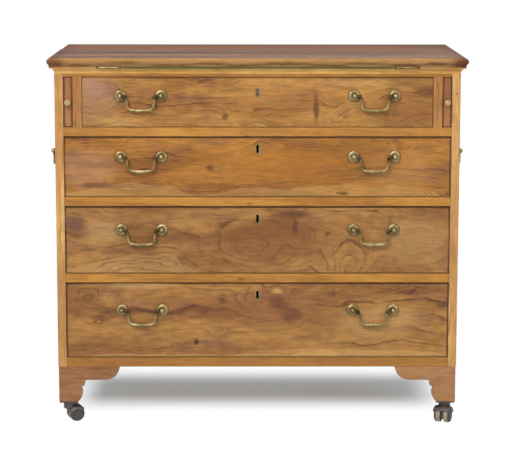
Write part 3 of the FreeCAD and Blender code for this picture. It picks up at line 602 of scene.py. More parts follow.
def surface(
    name: str, grids: np.ndarray, closed: bool = True, capped: bool = True, looped: bool = False
) -> bpy.types.Object:
    """Makes one object from surfaces that are each a grid of points.

    Each cell between neighbouring rows and columns is a quad. A closed grid joins its last column to its first,
    a looped one its last row to its first, and a capped one closes its first and last rows with a fan to their
    middle.

    Args:
        name: The object's name.
        grids: Points in metres, as copies by rows by columns by three.
        closed: Whether the columns run round.
        capped: Whether the first and last rows are closed.
        looped: Whether the rows run round.

    Returns:
        The object, at the origin, with its faces outwards.
    """
    count, rows, columns = grids.shape[:3]
    index = np.arange(rows * columns).reshape(rows, columns)
    here = index if closed else index[:, :-1]
    beside = np.roll(index, -1, axis=1) if closed else index[:, 1:]
    cells = np.stack([here, beside, np.roll(beside, -1, axis=0), np.roll(here, -1, axis=0)], axis=-1)
    quads = (cells if looped else cells[:-1]).reshape(-1, 4)
    points = grids.reshape(count, -1, 3)
    fans = np.empty((0, 3), int)
    if capped:
        points = np.concatenate([points, grids[:, [0, -1]].mean(axis=2)], axis=1)
        first = np.stack([np.full(columns, rows * columns), beside[0], index[0]], axis=-1)
        last = np.stack([np.full(columns, rows * columns + 1), index[-1], beside[-1]], axis=-1)
        fans = np.concatenate([first, last])
    steps = points.shape[1] * np.arange(count)[:, None, None]
    faces = (quads + steps).reshape(-1, 4).tolist() + (fans + steps).reshape(-1, 3).tolist()
    mesh = bpy.data.meshes.new(name)
    mesh.from_pydata(points.reshape(-1, 3).tolist(), [], faces)
    outward = bmesh.new()
    outward.from_mesh(mesh)
    bmesh.ops.recalc_face_normals(outward, faces=outward.faces)
    outward.to_mesh(mesh)
    outward.free()
    mesh.polygons.foreach_set("use_smooth", np.ones(len(mesh.polygons), bool))
    mesh.set_sharp_from_angle(angle=SHARP_ANGLE)
    piece = bpy.data.objects.new(name, mesh)
    bpy.context.scene.collection.objects.link(piece)
    return piece


def bar(path: np.ndarray, radii: np.ndarray, normal: Triple, around: int) -> np.ndarray:
    """A round bar along a flat path: at each point a circle lies across the path's direction.

    Args:
        path: Points of the middle line.
        radii: The bar's radius at each point.
        normal: Unit normal of the path's plane.
        around: Points round each circle.

    Returns:
        One grid of points, rows along the path and columns round it.
    """
    along = np.gradient(path, axis=0)
    along /= np.linalg.norm(along, axis=1, keepdims=True)
    side = np.cross(along, normal)
    turn = np.linspace(0, 2 * np.pi, around, endpoint=False)
    across = np.cos(turn)[None, :, None] * side[:, None] + np.sin(turn)[None, :, None] * np.array(normal)
    return path[:, None] + radii[:, None, None] * across


def turned(outline: np.ndarray, centre: np.ndarray, axis: np.ndarray, around: int) -> np.ndarray:
    """A turned form: each point of the outline, a radius and a height, runs round the axis as a circle.

    Args:
        outline: Radius and height of each point.
        centre: Where the axis starts.
        axis: Unit direction of the heights.
        around: Points round each circle.

    Returns:
        One grid of points, rows along the outline and columns round the axis.
    """
    first = np.cross(axis, (0.0, 0.0, 1.0) if abs(axis[2]) < 0.9 else (1.0, 0.0, 0.0))
    first /= np.linalg.norm(first)
    second = np.cross(axis, first)
    turn = np.linspace(0, 2 * np.pi, around, endpoint=False)
    circle = np.cos(turn)[:, None] * first + np.sin(turn)[:, None] * second
    return centre + outline[:, 0, None, None] * circle + outline[:, 1, None, None] * axis


def smooth(points: np.ndarray, steps: int) -> np.ndarray:
    """A curve through points: between each two a cubic whose end slopes are half the step between neighbours.

    Args:
        points: The points, one a row.
        steps: Points drawn for each stretch.

    Returns:
        The curve's points, one a row.
    """
    padded = np.concatenate([2 * points[:1] - points[1:2], points, 2 * points[-1:] - points[-2:-1]])
    a, b, c, d = padded[:-3, None], padded[1:-2, None], padded[2:-1, None], padded[3:, None]
    t = np.linspace(0, 1, steps, endpoint=False)[None, :, None]
    curve = b + 0.5 * t * ((c - a) + t * ((2 * a - 5 * b + 4 * c - d) + t * (3 * (b - c) + d - a)))
    return np.concatenate([curve.reshape(-1, points.shape[1]), points[-1:]])


def fit(piece: bpy.types.Object, body: str, finish: Material) -> None:
    """Gives a new piece its finish and its body, and reports it.

    Args:
        piece: The new piece.
        body: The body that carries it.
        finish: Its material.
    """
    piece.data.materials.append(finish)
    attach(piece, body)
    LOG.info("%s rides on %s", piece.name, body)


def dress(finish: Material, *nodes: str) -> None:
    """Gives carried-over nodes a finish, and reports them.

    Args:
        finish: Their material.
        nodes: Their names.
    """
    for name in nodes:
        node = frame["nodes"][name]
        if not node.material_slots:
            node.data.materials.append(finish)
        for place in node.material_slots:
            place.material = finish
        LOG.info("%s is dressed in %s", name, finish.name)


@dataclass
class Carcase:
    """The case: sides, rails, boards, partitions and feet, in mm."""

    inner_half: float = 479.0
    back_y: float = 254.55
    back_joints: Triple = (-244.5, 0.0, 244.5)
    nail_inset: float = 45.0
    nail_levels: tuple[float, ...] = (162.0, 376.0, 569.0, 743.0)
    nail_head: tuple[tuple[float, float], ...] = ((0.01, 0.5), (2.4, 0.5), (3.2, 0.2), (3.2, -1.0))
    nail_around: int = 14

    def rail_bands(self) -> tuple[Band, ...]:
        """Joints of the rails, and painted light and shade on them.

        Returns:
            Dark bands where they meet the sides; painted shade that darkens the lowest and the highest rail; and a
            painted lighter tone on the rail below the top drawer.
        """
        x = self.inner_half
        return stripes(
            ("X", -x - 1.5, -x + 1.2, "#4A2C18", 0.75, 0.7), ("X", x - 1.2, x + 1.5, "#4A2C18", 0.75, 0.7),
            # Painted shade on the base rail and the top rail, and painted light on the rail below the top drawer.
            ("Z", 100, 172, "#8E5D2E", 0.5, 3.0), ("Z", 727, 751, "#D09A4C", 0.15, 3.0),
            ("Z", 873, 884, "#8E5D2E", 0.4, 1.0),
        )

    def dress_outside(self) -> None:
        """Dresses the sides, the rails, the partitions, the lopers and the feet."""
        sides = dict(
            pale="#D0A062", deep="#B8834A", line="#87552D", smudge="#A4703F", grain=Grain.UPRIGHT, pitch=17.0,
            sway=2.5, strong=0.5, blotch=0.25,
        )
        face = Band("Y", FRONT_Y + 2, 300, "#A86C3A", 0.4, 2.0)
        # Painted shade: the left side turns darker towards the bottom.
        low = (Band("Z", 100, 420, "#A87640", 0.5, 120.0), face)
        hole = marks(FRONT_Y, 20, (490, 833, 4, 4, "#3A2013", 0.9))
        left = Wood("waxed_side_left", **sides, bands=low, shift=(40, 10, 300))
        right = Wood("waxed_side_right", **sides, patches=hole, bands=(face,), shift=(-700, 130, 900))
        dress(left.build(), "side_left")
        dress(right.build(), "side_right")
        dents = marks(
            FRONT_Y, 30, (-270, 751, 9, 4, "#3A2013", 0.9), (-28, 727, 6, 4, "#3A2013", 0.9),
            (-20, 560, 14, 6, "#7A4A26", 0.6), (-40, 369, 16, 9, "#6B3F22", 0.6),
        )
        rails = Wood(
            "waxed_rail", "#BA8238", "#A46D2E", "#7A481E", smudge="#98622F", pitch=14.0, sway=1.8, ripple=0.5,
            strong=0.45, patches=dents, bands=self.rail_bands(),
        )
        dress(rails.build(), "top_rail", "drawer_rails", "base_rail")
        lopers = dict(
            pale="#AC7546", deep="#945F38", line="#5F3722", grain=Grain.UPRIGHT, pitch=13.0, sway=2.0, strong=0.5
        )
        # Painted shade in the gaps round the lopers: dark bands at their sides, and at their top and bottom where
        # they meet the rails.
        gaps = (
            ("X", -477.1, -474.8), ("X", 474.8, 477.1), ("X", -459.8, -457.6), ("X", 457.6, 459.8),
            ("Z", 872.4, 874.8), ("Z", 750.8, 753.2),
        )
        ends = tuple(Band(*gap, GAP_SHADE, 0.8, GAP_SHADE_SOFT) for gap in gaps)
        dress(Wood("waxed_loper", **lopers, bands=ends).build(), "loper_left", "loper_right")
        lighter = lopers | dict(pale="#B98146", deep="#A46D3C", shift=(90, 40, 77))
        dress(Wood("waxed_partition", **lighter).build(), "loper_partitions")
        worn = marks(FRONT_Y, 80, (470, 80, 60, 48, "#B0824C", 0.4), (400, 130, 130, 40, "#AE7F50", 0.6))
        feet = Wood("waxed_foot", "#A9774E", "#90603E", "#5A3522", pitch=13.0, sway=2.5, strong=0.45, patches=worn)
        dress(feet.build(), "front_feet", "back_feet")

    def dress_inside(self) -> None:
        """Dresses the boards, strips and blocks that stay dry, and the back."""
        inner = Wood(
            "dry_inside", "#C3A072", "#AD8756", "#84623A", smudge="#9A7A52", strong=0.4, roughness=0.7, sheen=0.15
        )
        dress(inner.build(), "bottom_board", "dust_boards", "kicker_strips", "drawer_stops", "foot_blocks")
        back = Wood(
            "dry_back", "#B58A5A", "#9B7046", "#6A462A", grain=Grain.UPRIGHT, pitch=18.0, sway=3.0, strong=0.5,
            roughness=0.72, sheen=0.15,
            bands=tuple(Band("X", x - 0.9, x + 0.9, "#2E1C10", 0.85, 0.6) for x in self.back_joints),
        )
        dress(back.build(), "back_boards")

    def nails(self) -> None:
        """Drives two nails through each back board into each board inside: flat turned heads."""
        iron = Metal("rusted_iron", "#5A4A40", "#3E2C22", 0.4, 0.6).build()
        head, axis = np.array(self.nail_head), np.array((0.0, 1.0, 0.0))
        stops = (-self.inner_half, *self.back_joints, self.inner_half)
        columns = [*(x + self.nail_inset for x in stops[:-1]), *(x - self.nail_inset for x in stops[1:])]
        places = [np.array((x, self.back_y, level)) for x in columns for level in self.nail_levels]
        grids = np.stack([turned(head * MM, place * MM, axis, self.nail_around) for place in places])
        fit(surface("back_nails", grids), "case", iron)


@dataclass
class WritingTop:
    """The fixed top, the fold-over leaf, their baize and their hinges, in mm."""

    brass: Material
    baize_half: float = 454.0
    tongue_half: float = 331.5
    tongue_y: float = -247.45
    front_y: float = -211.75
    back_y: float = 209.55
    levels: tuple[float, float] = (897.2, 899.8)
    thick: float = 2.0
    corner: float = 0.2
    wave: float = 0.1
    wave_lengths: tuple[float, float] = (37.0, 29.0)
    columns: tuple[int, int] = (12, 56)
    rows: int = 40
    board_joint_y: float = 64.55
    nose_y: float = -249.0
    nose_depth: float = 24.0
    seam_z: float = 898.5
    hinge_x: float = 365.0
    hinge_half: float = 27.5

    def cloth(self, level: float) -> np.ndarray:
        """A cloth's grid: columns across, and rows from its stepped front edge to its straight back edge.

        Args:
            level: Height of the cloth's middle.

        Returns:
            One grid of points; the level rises and falls by a tenth of a millimetre in slow waves.
        """
        wing = np.linspace(self.tongue_half + self.corner, self.baize_half, self.columns[0])
        tongue = np.linspace(-self.tongue_half, self.tongue_half, self.columns[1])
        x = np.concatenate([-wing[::-1], tongue, wing])
        front = np.where(np.abs(x) <= self.tongue_half, self.tongue_y, self.front_y)
        along = np.linspace(0, 1, self.rows)[:, None]
        y = front + (self.back_y - front) * along
        z = level + self.wave * np.sin(x / self.wave_lengths[0]) * np.sin(y / self.wave_lengths[1])
        return np.stack([np.broadcast_to(x, y.shape), y, z], axis=-1)

    def lay(self) -> None:
        """Lays the two cloths in their recesses."""
        felt = Felt("green_baize", "#515428", "#5B5D30").build()
        for level, node, board, body in zip(
            self.levels, ("fixed_top_baize", "fold_leaf_baize"), ("fixed_top", "fold_leaf"), ("case", "leaf")
        ):
            piece = surface(f"cloth.{board}", self.cloth(level)[None] * MM, closed=False, capped=False)
            piece.data.shade_flat()
            solid = piece.modifiers.new("thickness", "SOLIDIFY")
            solid.thickness = self.thick * MM
            solid.offset = 0.0
            fit(piece, body, felt)
            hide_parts(node)

    def hinge_bed_shade(self) -> tuple[Patch, ...]:
        """Painted shade in the ends of the hinge beds, at the front edge, as the dark gaps round the hinges."""
        ends = (x + end for x in (-self.hinge_x, self.hinge_x) for end in (-self.hinge_half, self.hinge_half))
        return tuple(Patch((x, self.tongue_y, self.seam_z), (9, 12, 7), "#1E120A", 0.9) for x in ends)

    def leaf_patches(self) -> tuple[Patch, ...]:
        """Wear of the leaf, and painted shade by its hinges.

        Returns:
            Streaks along its nose, painted shade at the ends of the hinge beds and stains on its back board.
        """
        nose = (
            (-505, 908, 60, 28.0, "#5A3024"), (-440, 903, 60, 8.4, "#6A3A24"), (-330, 911, 90, 6.3, "#74502C"),
            (-215, 903, 110, 6.3, "#64402A"), (-120, 909, 70, 6.3, "#6E482A"), (-30, 904, 90, 5.6, "#5E3A24"),
            (70, 909, 120, 7.0, "#704A2A"), (180, 903, 90, 6.3, "#5E3A24"), (260, 910, 90, 5.6, "#74502C"),
            (360, 905, 80, 7.0, "#6A4428"), (440, 909, 60, 8.4, "#64382A"), (508, 908, 60, 28.0, "#52261E"),
        )
        return (
            *marks(self.nose_y, self.nose_depth, *((*row, 0.7) for row in nose)),
            *self.hinge_bed_shade(),
            Patch((470, 190, 921), (200, 160, 60), "#54382C", 0.6),
            Patch((-250, 200, 921), (300, 90, 60), "#6E4A34", 0.6),
            Patch((120, 130, 921), (320, 60, 60), "#6E4A34", 0.6),
        )

    def dress(self) -> None:
        """Dresses the top's nodes."""
        joint = self.board_joint_y
        # The front board's grey-mauve tones are partly the wood's own and partly a painted reflection of the white
        # backdrop on the top; a band makes the back board redder, and another lightens the nose to ochre.
        leaf = Wood(
            "waxed_leaf", "#896B57", "#5A3F31", "#36201A", smudge="#7C4A34", pitch=64.0, sway=3.0, sway_length=420,
            strong=0.6, streak=26.0, streak_length=900.0, blotch=0.3, roughness=0.58, sheen=0.05,
            patches=self.leaf_patches(),
            bands=stripes(
                ("Y", joint, 300, "#714423", 0.66, 1.2), ("Y", joint, joint + 60, "#8E5629", 0.35, 1.2),
                ("Y", joint - 0.6, joint + 0.6, "#3E2218", 0.6, 0.6), ("X", -560, -488, "#523029", 0.7, 30.0),
                ("Y", -300, -246.0, "#AA804C", 0.8, 5.0), ("X", 492, 560, "#523029", 0.6, 28.0),
            ),
        )
        dress(leaf.build(), "fold_leaf")
        # The fixed top's upper edge is painted darker, as shade in the seam under the leaf; its hinge beds carry
        # painted shade at their ends.
        fixed = Wood(
            "waxed_fixed_top", "#D9A85E", "#C69249", "#8A5824", smudge="#A8743A", pitch=15.0, sway=1.5, strong=0.4,
            patches=self.hinge_bed_shade(), bands=(Band("Z", 897.4, 905, "#8E6038", 0.6, 0.5),),
        )
        dress(fixed.build(), "fixed_top")
        dress(self.brass, "hinge_lower_plates", "hinge_upper_plates")
        self.lay()


@dataclass
class Handles:
    """The swan-neck bails: pins, bent necks, leaning limbs and a bowed grip, in mm from the pivot line's middle.

    Painted shade lies at their necks, where they meet the pommels: it is full above the first of two heights and gone
    below the second, and it ends between two distances from the middle.
    """

    brass: Material
    stand: float = 12.7
    handle_x: float = 288.5
    levels: tuple[float, ...] = (828.45, 677.4, 493.9, 290.4)
    side_x: float = 523.5
    side_y: float = 9.55
    side_z: float = 668.0
    around: int = 20
    steps: int = 6
    neck_shade_z: tuple[float, float] = (-4.0, -13.0)
    neck_shade_x: tuple[float, float] = (35.0, 30.0)
    half_bail: tuple[Triple, ...] = (
        (53.5, 0.0, 2.4), (47.5, 0.0, 2.7), (43.0, 0.2, 3.8), (39.2, -0.6, 4.5), (36.0, -3.4, 4.2),
        (34.2, -8.2, 3.6), (33.3, -15.0, 3.2), (32.6, -22.0, 3.1), (31.0, -28.4, 3.3), (27.2, -32.8, 3.6),
        (20.5, -35.0, 4.2), (10.5, -36.2, 4.9), (0.0, -36.6, 5.2),
    )

    def middle_line(self) -> tuple[np.ndarray, np.ndarray]:
        """The bail's middle line and radii, as a smooth curve through one half and its mirror image.

        Returns:
            Points along the pivot line and above it, and the radius at each.
        """
        half = np.array(self.half_bail)
        curve = smooth(np.concatenate([half, half[-2::-1] * (-1, 1, 1)]), self.steps)
        return curve[:, :2], curve[:, 2]

    def build(self) -> None:
        """Makes the ten bails in place of their plain nodes."""
        line = self.middle_line()[0]
        away = np.full(len(line), FRONT_Y - self.stand)
        for number, level in enumerate(self.levels, start=1):
            for side, x in (("left", -self.handle_x), ("right", self.handle_x)):
                path = np.stack([x + line[:, 0], away, level + line[:, 1]], axis=1)
                self.hang(f"drawer_{number}_bail_{side}", path, (0.0, 1.0, 0.0))
        for side, x in (("left", -self.side_x), ("right", self.side_x)):
            path = np.stack([np.full(len(line), x), self.side_y + line[:, 0], self.side_z + line[:, 1]], axis=1)
            self.hang(f"side_bail_{side}", path, (1.0, 0.0, 0.0))

    def hang(self, node: str, path: np.ndarray, normal: Triple) -> None:
        """Makes one bail in place of a node: a round bar along its path, with painted shade at its necks.

        Args:
            node: The node, which is also the body that carries it.
            path: Points of its middle line, in mm.
            normal: Unit normal of the path's plane.
        """
        line, radii = self.middle_line()
        piece = surface(f"swan_neck.{node}", bar(path * MM, radii * MM, normal, self.around)[None])
        # Painted shade at the necks, kept per point for the brass to darken.
        (full_z, gone_z), (full_x, gone_x) = self.neck_shade_z, self.neck_shade_x
        shade_and_dirt = np.clip((line[:, 1] - gone_z) / (full_z - gone_z), 0, 1)
        shade_and_dirt *= np.clip((np.abs(line[:, 0]) - gone_x) / (full_x - gone_x), 0, 1)
        values = np.concatenate([np.repeat(shade_and_dirt, self.around), shade_and_dirt[[0, -1]]])
        piece.data.attributes.new("shade_and_dirt", "FLOAT", "POINT").data.foreach_set("value", values)
        fit(piece, node, self.brass)
        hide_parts(node)


@dataclass
class DrawerStack:
    """The four drawers: figured fronts, plain boxes and brasses, in mm."""

    brass: Material
    keys: tuple[float, ...] = (836.0, 696.0, 522.0, 329.0)
    halves: tuple[float, ...] = (431.5, 477.5, 477.5, 477.5)
    spans: tuple[tuple[float, float], ...] = ((751.4, 873.5), (577.4, 726.0), (384.4, 552.0), (170.4, 359.0))
    patch_depth: float = 60.0
    key_y: float = -226.0
    key_r: Triple = (6.0, 9.0, 15.0)
    lock_y: float = -224.0
    side_thick: float = 14.0
    head_r: float = 3.5
    head_up: float = 6.8
    head_steps: int = 13
    slot: tuple[tuple[float, float], ...] = ((-3.0, 6.0), (-3.0, -9.5), (3.0, -9.5), (3.0, 6.0))
    blank_rows: tuple[tuple[float, float], ...] = ((1.0, -231.0), (1.0, -235.4), (0.8, -235.8))

    def front(self, number: int, tones: tuple, lines: tuple, eyes: tuple, patches: tuple, **look: object) -> Wood:
        """The figured wood of one front.

        Args:
            number: The drawer, counted from the top.
            tones: Its pale, deep and line colours.
            lines: Its figure's other values, from the heights on.
            eyes: The values of each eye.
            patches: Each patch's place across and up, its radii, colour and strength.
            look: The wood's other values.

        Returns:
            The wood, with painted shade along its edges and, below the first drawer, a keyhole painted dark as unlit.
        """
        figure = Figure(self.halves[number - 1], *self.spans[number - 1], *lines)
        ovals = marks(FRONT_Y, self.patch_depth, *patches)
        if number > 1:
            # A black oval painted into the front round the keyhole, as the shade inside it.
            ovals += (Patch((0, self.key_y, self.keys[number - 1]), self.key_r, "#17100B", 1.0),)
        return Wood(
            f"figured_front_{number}", *tones, **look, blotch=0.4, figure=figure, patches=ovals,
            eyes=tuple(Eye(*eye) for eye in eyes), bands=figure.gap_shade(),
        )

    def fronts(self) -> list[Wood]:
        """The figured woods of the four fronts.

        Returns:
            The woods from the top down, their lines, eyes and patches placed on each front.
        """
        dark, gold, brown = "#5A3524", "#C89A58", "#5E3626"
        first = self.front(
            1, ("#B68241", "#976430", "#4E2B1A"),
            (
                (
                    (755, 758, 760, 759, 758, 757, 755, 753, 751, 752, 752, 755, 766, 765, 759, 758, 759, 760, 761,
                     762, 763, 763, 763, 763, 763),
                    (783, 782, 781, 778, 776, 775, 775, 779, 780, 780, 779, 777, 781, 784, 783, 784, 787, 789, 790,
                     790, 789, 792, 796, 799, 803),
                    (819, 820, 820, 818, 815, 815, 819, 817, 814, 812, 811, 812, 817, 814, 817, 828, 834, 829, 827,
                     826, 828, 831, 830, 832, 840),
                    (857, 859, 862, 847, 844, 848, 845, 841, 839, 844, 856, 863, 860, 851, 846, 847, 846, 847, 854,
                     860, 865, 868, 867, 865, 864),
                ),
                (2, 2, 2), (9, 8), gold, 0.4, 0.1, 0.45,
            ),
            (
                (191, 768, 56, 90, 2.4), (-81, 777, 24, 28, 1.4, 0.7), (-390, 806, 90, 90, 2.2),
                (-330, 850, 60, 30, 1.6), (330, 775, 90, 40, 2.0),
            ),
            (
                (-398, 815, 120, 110, "#AC8460", 0.4), (-405, 850, 80, 60, "#A67C66", 0.55),
                (-362, 846, 34, 52, "#8A6252", 0.45), (144, 798, 13, 62, dark, 0.85),
                (-340, 766, 110, 16, gold, 0.45), (250, 860, 180, 16, gold, 0.4), (418, 836, 60, 26, dark, 0.6),
                (40, 815, 190, 50, "#AC763A", 0.4), (350, 790, 160, 80, "#8A592F", 0.6),
            ),
            sway=0.4, ripple=0.35, faint=0.1, strong=0.65, fine=0.2, late=0.5, mottle=0.11,
        )
        second = self.front(
            2, ("#AF7530", "#905C26", "#502B17"),
            (
                (
                    (592, 595, 601, 608, 613, 615, 613, 605, 585, 587, 598, 603, 605, 604, 602, 605, 605, 605, 603,
                     601, 601, 600, 598, 595, 593),
                    (616, 614, 617, 623, 628, 631, 632, 631, 629, 630, 632, 633, 634, 634, 633, 633, 635, 634, 633,
                     632, 632, 633, 630, 628, 626),
                    (675, 674, 673, 672, 674, 676, 674, 673, 669, 667, 667, 670, 672, 673, 673, 672, 670, 668, 671,
                     675, 682, 686, 682, 677, 673),
                    (704, 704, 703, 705, 708, 712, 715, 711, 701, 695, 700, 710, 715, 710, 701, 697, 696, 700, 706,
                     713, 710, 704, 715, 718, 712),
                ),
                (3, 2, 2), (4.5, 9), gold, 0.45,
            ),
            (
                (-119, 650, 30, 22, 1.4, 0.7), (352, 697, 70, 30, 2.5), (352, 697, 24, 9, 0.5, 0.5),
                (214, 586, 26, 13, 0.6, 0.7),
            ),
            (
                (-420, 650, 130, 90, "#AC7E5C", 0.5), (60, 660, 300, 80, "#A66A28", 0.65),
                (360, 645, 170, 90, "#BA854C", 0.4), (-395, 605, 95, 14, "#6A4334", 0.65),
                (-350, 655, 150, 16, "#8A5638", 0.4),
            ),
            sway=0.4, ripple=0.35, faint=0.18, strong=0.7, fine=0.24, late=0.5, mottle=0.11, shift=(310, 0, 140),
        )
        third = self.front(
            3, ("#A6763E", "#85572C", "#4A281A"),
            (
                (
                    (403, 421, 420, 431, 442, 445, 443, 431, 402, 390, 392, 392, 391, 391, 391, 391, 391, 391, 391,
                     392, 393, 394, 396, 398, 399),
                    (480, 465, 466, 474, 481, 486, 485, 480, 473, 462, 459, 456, 456, 456, 456, 457, 455, 452, 451,
                     453, 456, 458, 458, 458, 458),
                    (535, 534, 530, 510, 526, 530, 526, 517, 513, 522, 523, 521, 518, 520, 529, 538, 540, 539, 539,
                     538, 536, 533, 525, 517, 510),
                ),
                (1, 1), (14, 12), "#B98E56", 0.5,
            ),
            (
                (-455, 510, 60, 50, 0.9), (-17, 446, 230, 120, 3.6), (227, 388, 110, 150, 5.0),
                (400, 462, 190, 130, 3.4), (112, 472, 60, 60, 3.0),
            ),
            (
                (-382, 490, 90, 60, "#BE9660", 0.5), (-455, 512, 60, 44, "#664538", 0.75),
                (40, 465, 260, 110, "#7C4C28", 0.65), (390, 470, 170, 110, "#B48850", 0.6),
                (93, 502, 14, 34, dark, 0.8), (85, 533, 90, 18, dark, 0.75), (-150, 530, 60, 14, "#6B4038", 0.4),
            ),
            sway=0.5, ripple=0.5, faint=0.3, strong=0.75, fine=0.16, late=0.25, mottle=0.12, shift=(700, 0, 420),
        )
        fourth = self.front(
            4, ("#AB793E", "#8C5C30", "#4A291A"),
            (
                (
                    (179, 179, 180, 183, 186, 187, 187, 186, 186, 185, 184, 186, 187, 189, 189, 190, 191, 190, 190,
                     189, 189, 189, 188, 185, 182),
                    (203, 198, 194, 198, 201, 204, 208, 212, 213, 214, 215, 217, 218, 220, 223, 232, 247, 265, 268,
                     266, 267, 265, 261, 256, 252),
                    (272, 274, 272, 257, 245, 245, 249, 254, 261, 266, 268, 263, 261, 264, 272, 280, 286, 289, 286,
                     289, 290, 290, 290, 287, 284),
                    (342, 345, 344, 342, 343, 343, 343, 345, 345, 340, 339, 341, 345, 344, 344, 341, 336, 329, 336,
                     339, 338, 337, 340, 342, 345),
                ),
                (2, 1, 1), (7, 9), gold, 0.5,
            ),
            (
                (19, 322, 120, 90, 4.0), (-86, 318, 26, 26, 1.6, 0.6), (-152, 209, 17, 20, 0.9, 0.95),
                (-99, 237, 26, 22, 2.2), (-425, 324, 52, 36, 2.5, 0.4), (376, 338, 56, 18, 1.0, 0.6),
                (190, 335, 26, 18, 0.9, 0.5), (-400, 262, 90, 46, 0.8),
            ),
            (
                (60, 300, 190, 90, "#94633A", 0.5), (50, 339, 24, 12, "#CC9A58", 0.7), (52, 306, 44, 40, brown, 0.7),
                (80, 282, 50, 34, brown, 0.6), (190, 182, 320, 18, gold, 0.5), (310, 262, 190, 70, "#B88A54", 0.65),
                (-300, 352, 170, 14, "#B99764", 0.4), (466, 303, 34, 18, dark, 0.75),
            ),
            sway=0.5, ripple=0.4, faint=0.14, strong=0.7, fine=0.16, late=0.4, mottle=0.12, shift=(1100, 0, 820),
        )
        return [first, second, third, fourth]

    def blank(self) -> None:
        """Fills the top drawer's keyhole with a dull blank: a slot with a round head, drawn round its middle."""
        dull = Metal("dull_blank", "#66503E", "#4E3A2E", 0.2, 0.6).build()
        turn = np.linspace(0, np.pi, self.head_steps)
        head = np.stack([self.head_r * np.cos(turn), self.head_up + self.head_r * np.sin(turn)], axis=1)
        ring = np.concatenate([head, np.array(self.slot)])
        middle = np.array([0.0, self.keys[0]])
        grid = [np.insert(middle + grow * ring, 1, y, axis=1) for grow, y in self.blank_rows]
        fit(surface("keyhole_blank", np.stack(grid)[None] * MM), "drawer_1", dull)

    def dress(self) -> None:
        """Dresses the drawers' nodes."""
        dry = dict(
            pale="#C8A678", deep="#B6925F", line="#87653C", smudge="#9C7C54", strong=0.4, blotch=0.15, roughness=0.68,
            sheen=0.15,
        )
        for number, (wood, half, key) in enumerate(zip(self.fronts(), self.halves, self.keys), start=1):
            dress(wood.build(), f"drawer_{number}_front")
            inner = Wood(f"dry_drawer_{number}", **dry, ends_at=half - self.side_thick)
            dress(inner.build(), f"drawer_{number}_box")
            lock = Metal(f"lock_brass_{number}", *BRASS, 1.0, 0.4, hollow=(0, self.lock_y, key))
            dress(lock.build(), f"drawer_{number}_brasses")
            dress(self.brass, f"drawer_{number}_lock_bolt")
        self.blank()


@dataclass
class Castors:
    """The castors: enamelled hoods and plates, dark wheels and tan treads, in mm."""

    names: tuple[str, ...] = ("front_left", "front_right", "back_left", "back_right")
    wheel_r: float = 19.0
    tread_lift: float = 0.3
    tread_depth: float = 1.4
    tread_from: float = 4.9
    tread_to: float = 14.6
    tread_edge: float = 1.0
    around: int = 64

    def treads(self) -> None:
        """Makes each castor's two treads: a flat band with rounded edges, carried round the axle."""
        rubber = Rubber("tan_tread", "#A59378", "#877860").build()
        axles = {joint["name"]: joint for joint in frame["joints"]}
        outer, low, high, edge = self.wheel_r, self.tread_from, self.tread_to, self.tread_edge
        top = outer + self.tread_lift
        inner = top - self.tread_depth
        corners = ((inner, low), (outer, low), (top, low + edge), (top, high - edge), (outer, high), (inner, high))
        for name in self.names:
            axle = axles[f"castor_{name}_roll"]
            centre, axis = np.array(axle["pos_m"]), np.array(axle["axis"], float)
            grids = np.stack([turned(np.array(corners) * MM, centre, way * axis, self.around) for way in (1, -1)])
            piece = surface(f"treads.{name}", grids, capped=False, looped=True)
            fit(piece, f"castor_{name}_wheels", rubber)

    def dress(self) -> None:
        """Dresses the castors' nodes."""
        enamel = Metal("brown_enamel", "#574A48", "#3A3030", 0.0, 0.42).build()
        wheel = Rubber("dark_wheel", "#423A38", "#5A5049").build()
        dress(enamel, "castor_plates", *(f"castor_hood_{name}" for name in self.names))
        dress(wheel, *(f"castor_wheels_{name}" for name in self.names))


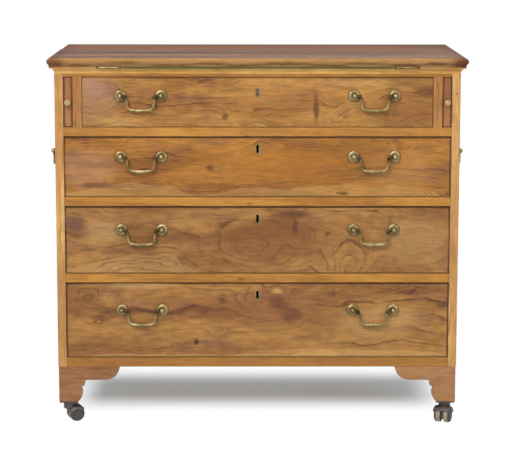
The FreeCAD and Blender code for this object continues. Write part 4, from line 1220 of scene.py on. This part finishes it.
@dataclass
class Studio:
    """A white floor and backdrop, soft lamps and the camera, in metres.

    The shade values say, across and along, where the chest's middle lies, and how far from it the floor starts to
    turn plain white and has done so. Each lamp has a name, a place, the point that it faces, a size and its watts.
    """

    camera_place: Triple = (-0.03005, -4.84665, 1.27254)
    yaw: float = -0.0057
    pitch: float = 0.1505
    roll: float = 0.0011
    lens: float = 132.165
    sensor: float = 36.0
    shift_y: float = -0.06
    floor_half: float = 9.0
    floor_z: float = -0.0006
    floor_tint: Colour = (0.71, 0.79, 0.87, 1.0)
    floor_glow: float = 0.195
    shades: tuple[Triple, Triple] = ((0.0, 0.4, 0.53), (0.1135, 0.05, 0.26))
    sky: float = 0.42
    white: Colour = (1.0, 1.0, 1.0, 1.0)
    lamps: tuple[tuple[str, Triple, Triple, float, float], ...] = (
        ("key", (-1.5, -3.2, 2.9), (0, -0.2, 0.5), 1.3, 92.0),
        ("top", (0.2, -0.5, 3.4), (0, 0, 0.5), 2.0, 48.0),
        ("fill", (2.6, -3.2, 1.8), (0, -0.2, 0.5), 1.6, 26.0),
    )

    def floor(self) -> None:
        """A white floor that keeps the shadow near the chest, and is plain white to the eye farther off."""
        corner = np.array([-1.0, 1.0]) * self.floor_half
        x, y = np.meshgrid(corner, corner)
        grid = np.stack([x, y, np.full_like(x, self.floor_z)], axis=-1)
        piece = surface("floor", grid[None], closed=False, capped=False)
        g = Graph(bpy.data.materials.new("white_floor"))
        seen = g.seen()
        glow = g.add("Emission", {"Color": self.white, "Strength": g.calc("MULTIPLY", seen, self.floor_glow)})
        near = g.add("AddShader", {0: g.add("BsdfDiffuse", {"Color": self.floor_tint}), 1: glow})
        shares = []
        for value, (middle, start, end) in zip(g.split(g.add("TexCoord", {}, "Object")), self.shades):
            away = g.calc("ABSOLUTE", g.calc("SUBTRACT", value, middle))
            shares.append(g.span(away, start, end, 1.0, 0.0))
        plain = g.calc("SUBTRACT", 1.0, g.calc("MULTIPLY", *shares))
        white = g.add("Emission", {"Color": self.white, "Strength": 1.0})
        both = g.add("MixShader", {0: g.calc("MULTIPLY", plain, seen), 1: near, 2: white})
        g.add("OutputMaterial", {"Surface": both})
        piece.data.materials.append(g.owner)

    def backdrop(self) -> None:
        """A world that is white to the eye, and a soft grey light elsewhere."""
        world = bpy.data.worlds.new("studio")
        bpy.context.scene.world = world
        g = Graph(world)
        soft, white = (g.add("Background", {"Color": self.white, "Strength": power}) for power in (self.sky, 1.0))
        g.add("OutputWorld", {"Surface": g.add("MixShader", {0: g.seen(), 1: soft, 2: white})})

    def hang_lamps(self) -> None:
        """Hangs square soft boxes that face the chest."""
        for name, place, aim, size, watts in self.lamps:
            light = bpy.data.lights.new(name, "AREA")
            light.size, light.energy = size, watts
            lamp = bpy.data.objects.new(name, light)
            lamp.location = place
            lamp.rotation_euler = (Vector(aim) - Vector(place)).to_track_quat("-Z", "Y").to_euler()
            bpy.context.scene.collection.objects.link(lamp)

    def camera(self) -> None:
        """A camera that looks slightly down, with a small shift."""
        data = bpy.data.cameras.new("camera")
        data.lens = self.lens
        data.sensor_width = self.sensor
        data.shift_y = self.shift_y
        camera = bpy.data.objects.new("camera", data)
        tilt = Euler((math.pi / 2 - self.pitch, 0, self.yaw)).to_matrix() @ Matrix.Rotation(self.roll, 3, "Z")
        camera.location = self.camera_place
        camera.rotation_euler = tilt.to_euler()
        bpy.context.scene.collection.objects.link(camera)
        bpy.context.scene.camera = camera

    def build(self) -> None:
        """Sets up the whole studio."""
        self.floor()
        self.backdrop()
        self.hang_lamps()
        self.camera()
        bpy.context.scene.view_settings.view_transform = "Standard"


def main() -> None:
    """Builds and dresses the chest in order."""
    logging.basicConfig(level=logging.INFO, format="%(name)s: %(message)s")
    brass = Metal("aged_brass", *BRASS, 1.0, 0.44).build()
    knobs = Metal("rubbed_brass", "#CDB688", "#A18957", 1.0, 0.3).build()
    carcase = Carcase()
    carcase.dress_outside()
    carcase.dress_inside()
    carcase.nails()
    WritingTop(brass).dress()
    DrawerStack(brass).dress()
    Handles(brass).build()
    dress(knobs, "loper_knob_left", "loper_knob_right")
    dress(brass, "side_handle_pommels")
    castors = Castors()
    castors.dress()
    castors.treads()
    Studio().build()


if __name__ == "__main__":
    main()
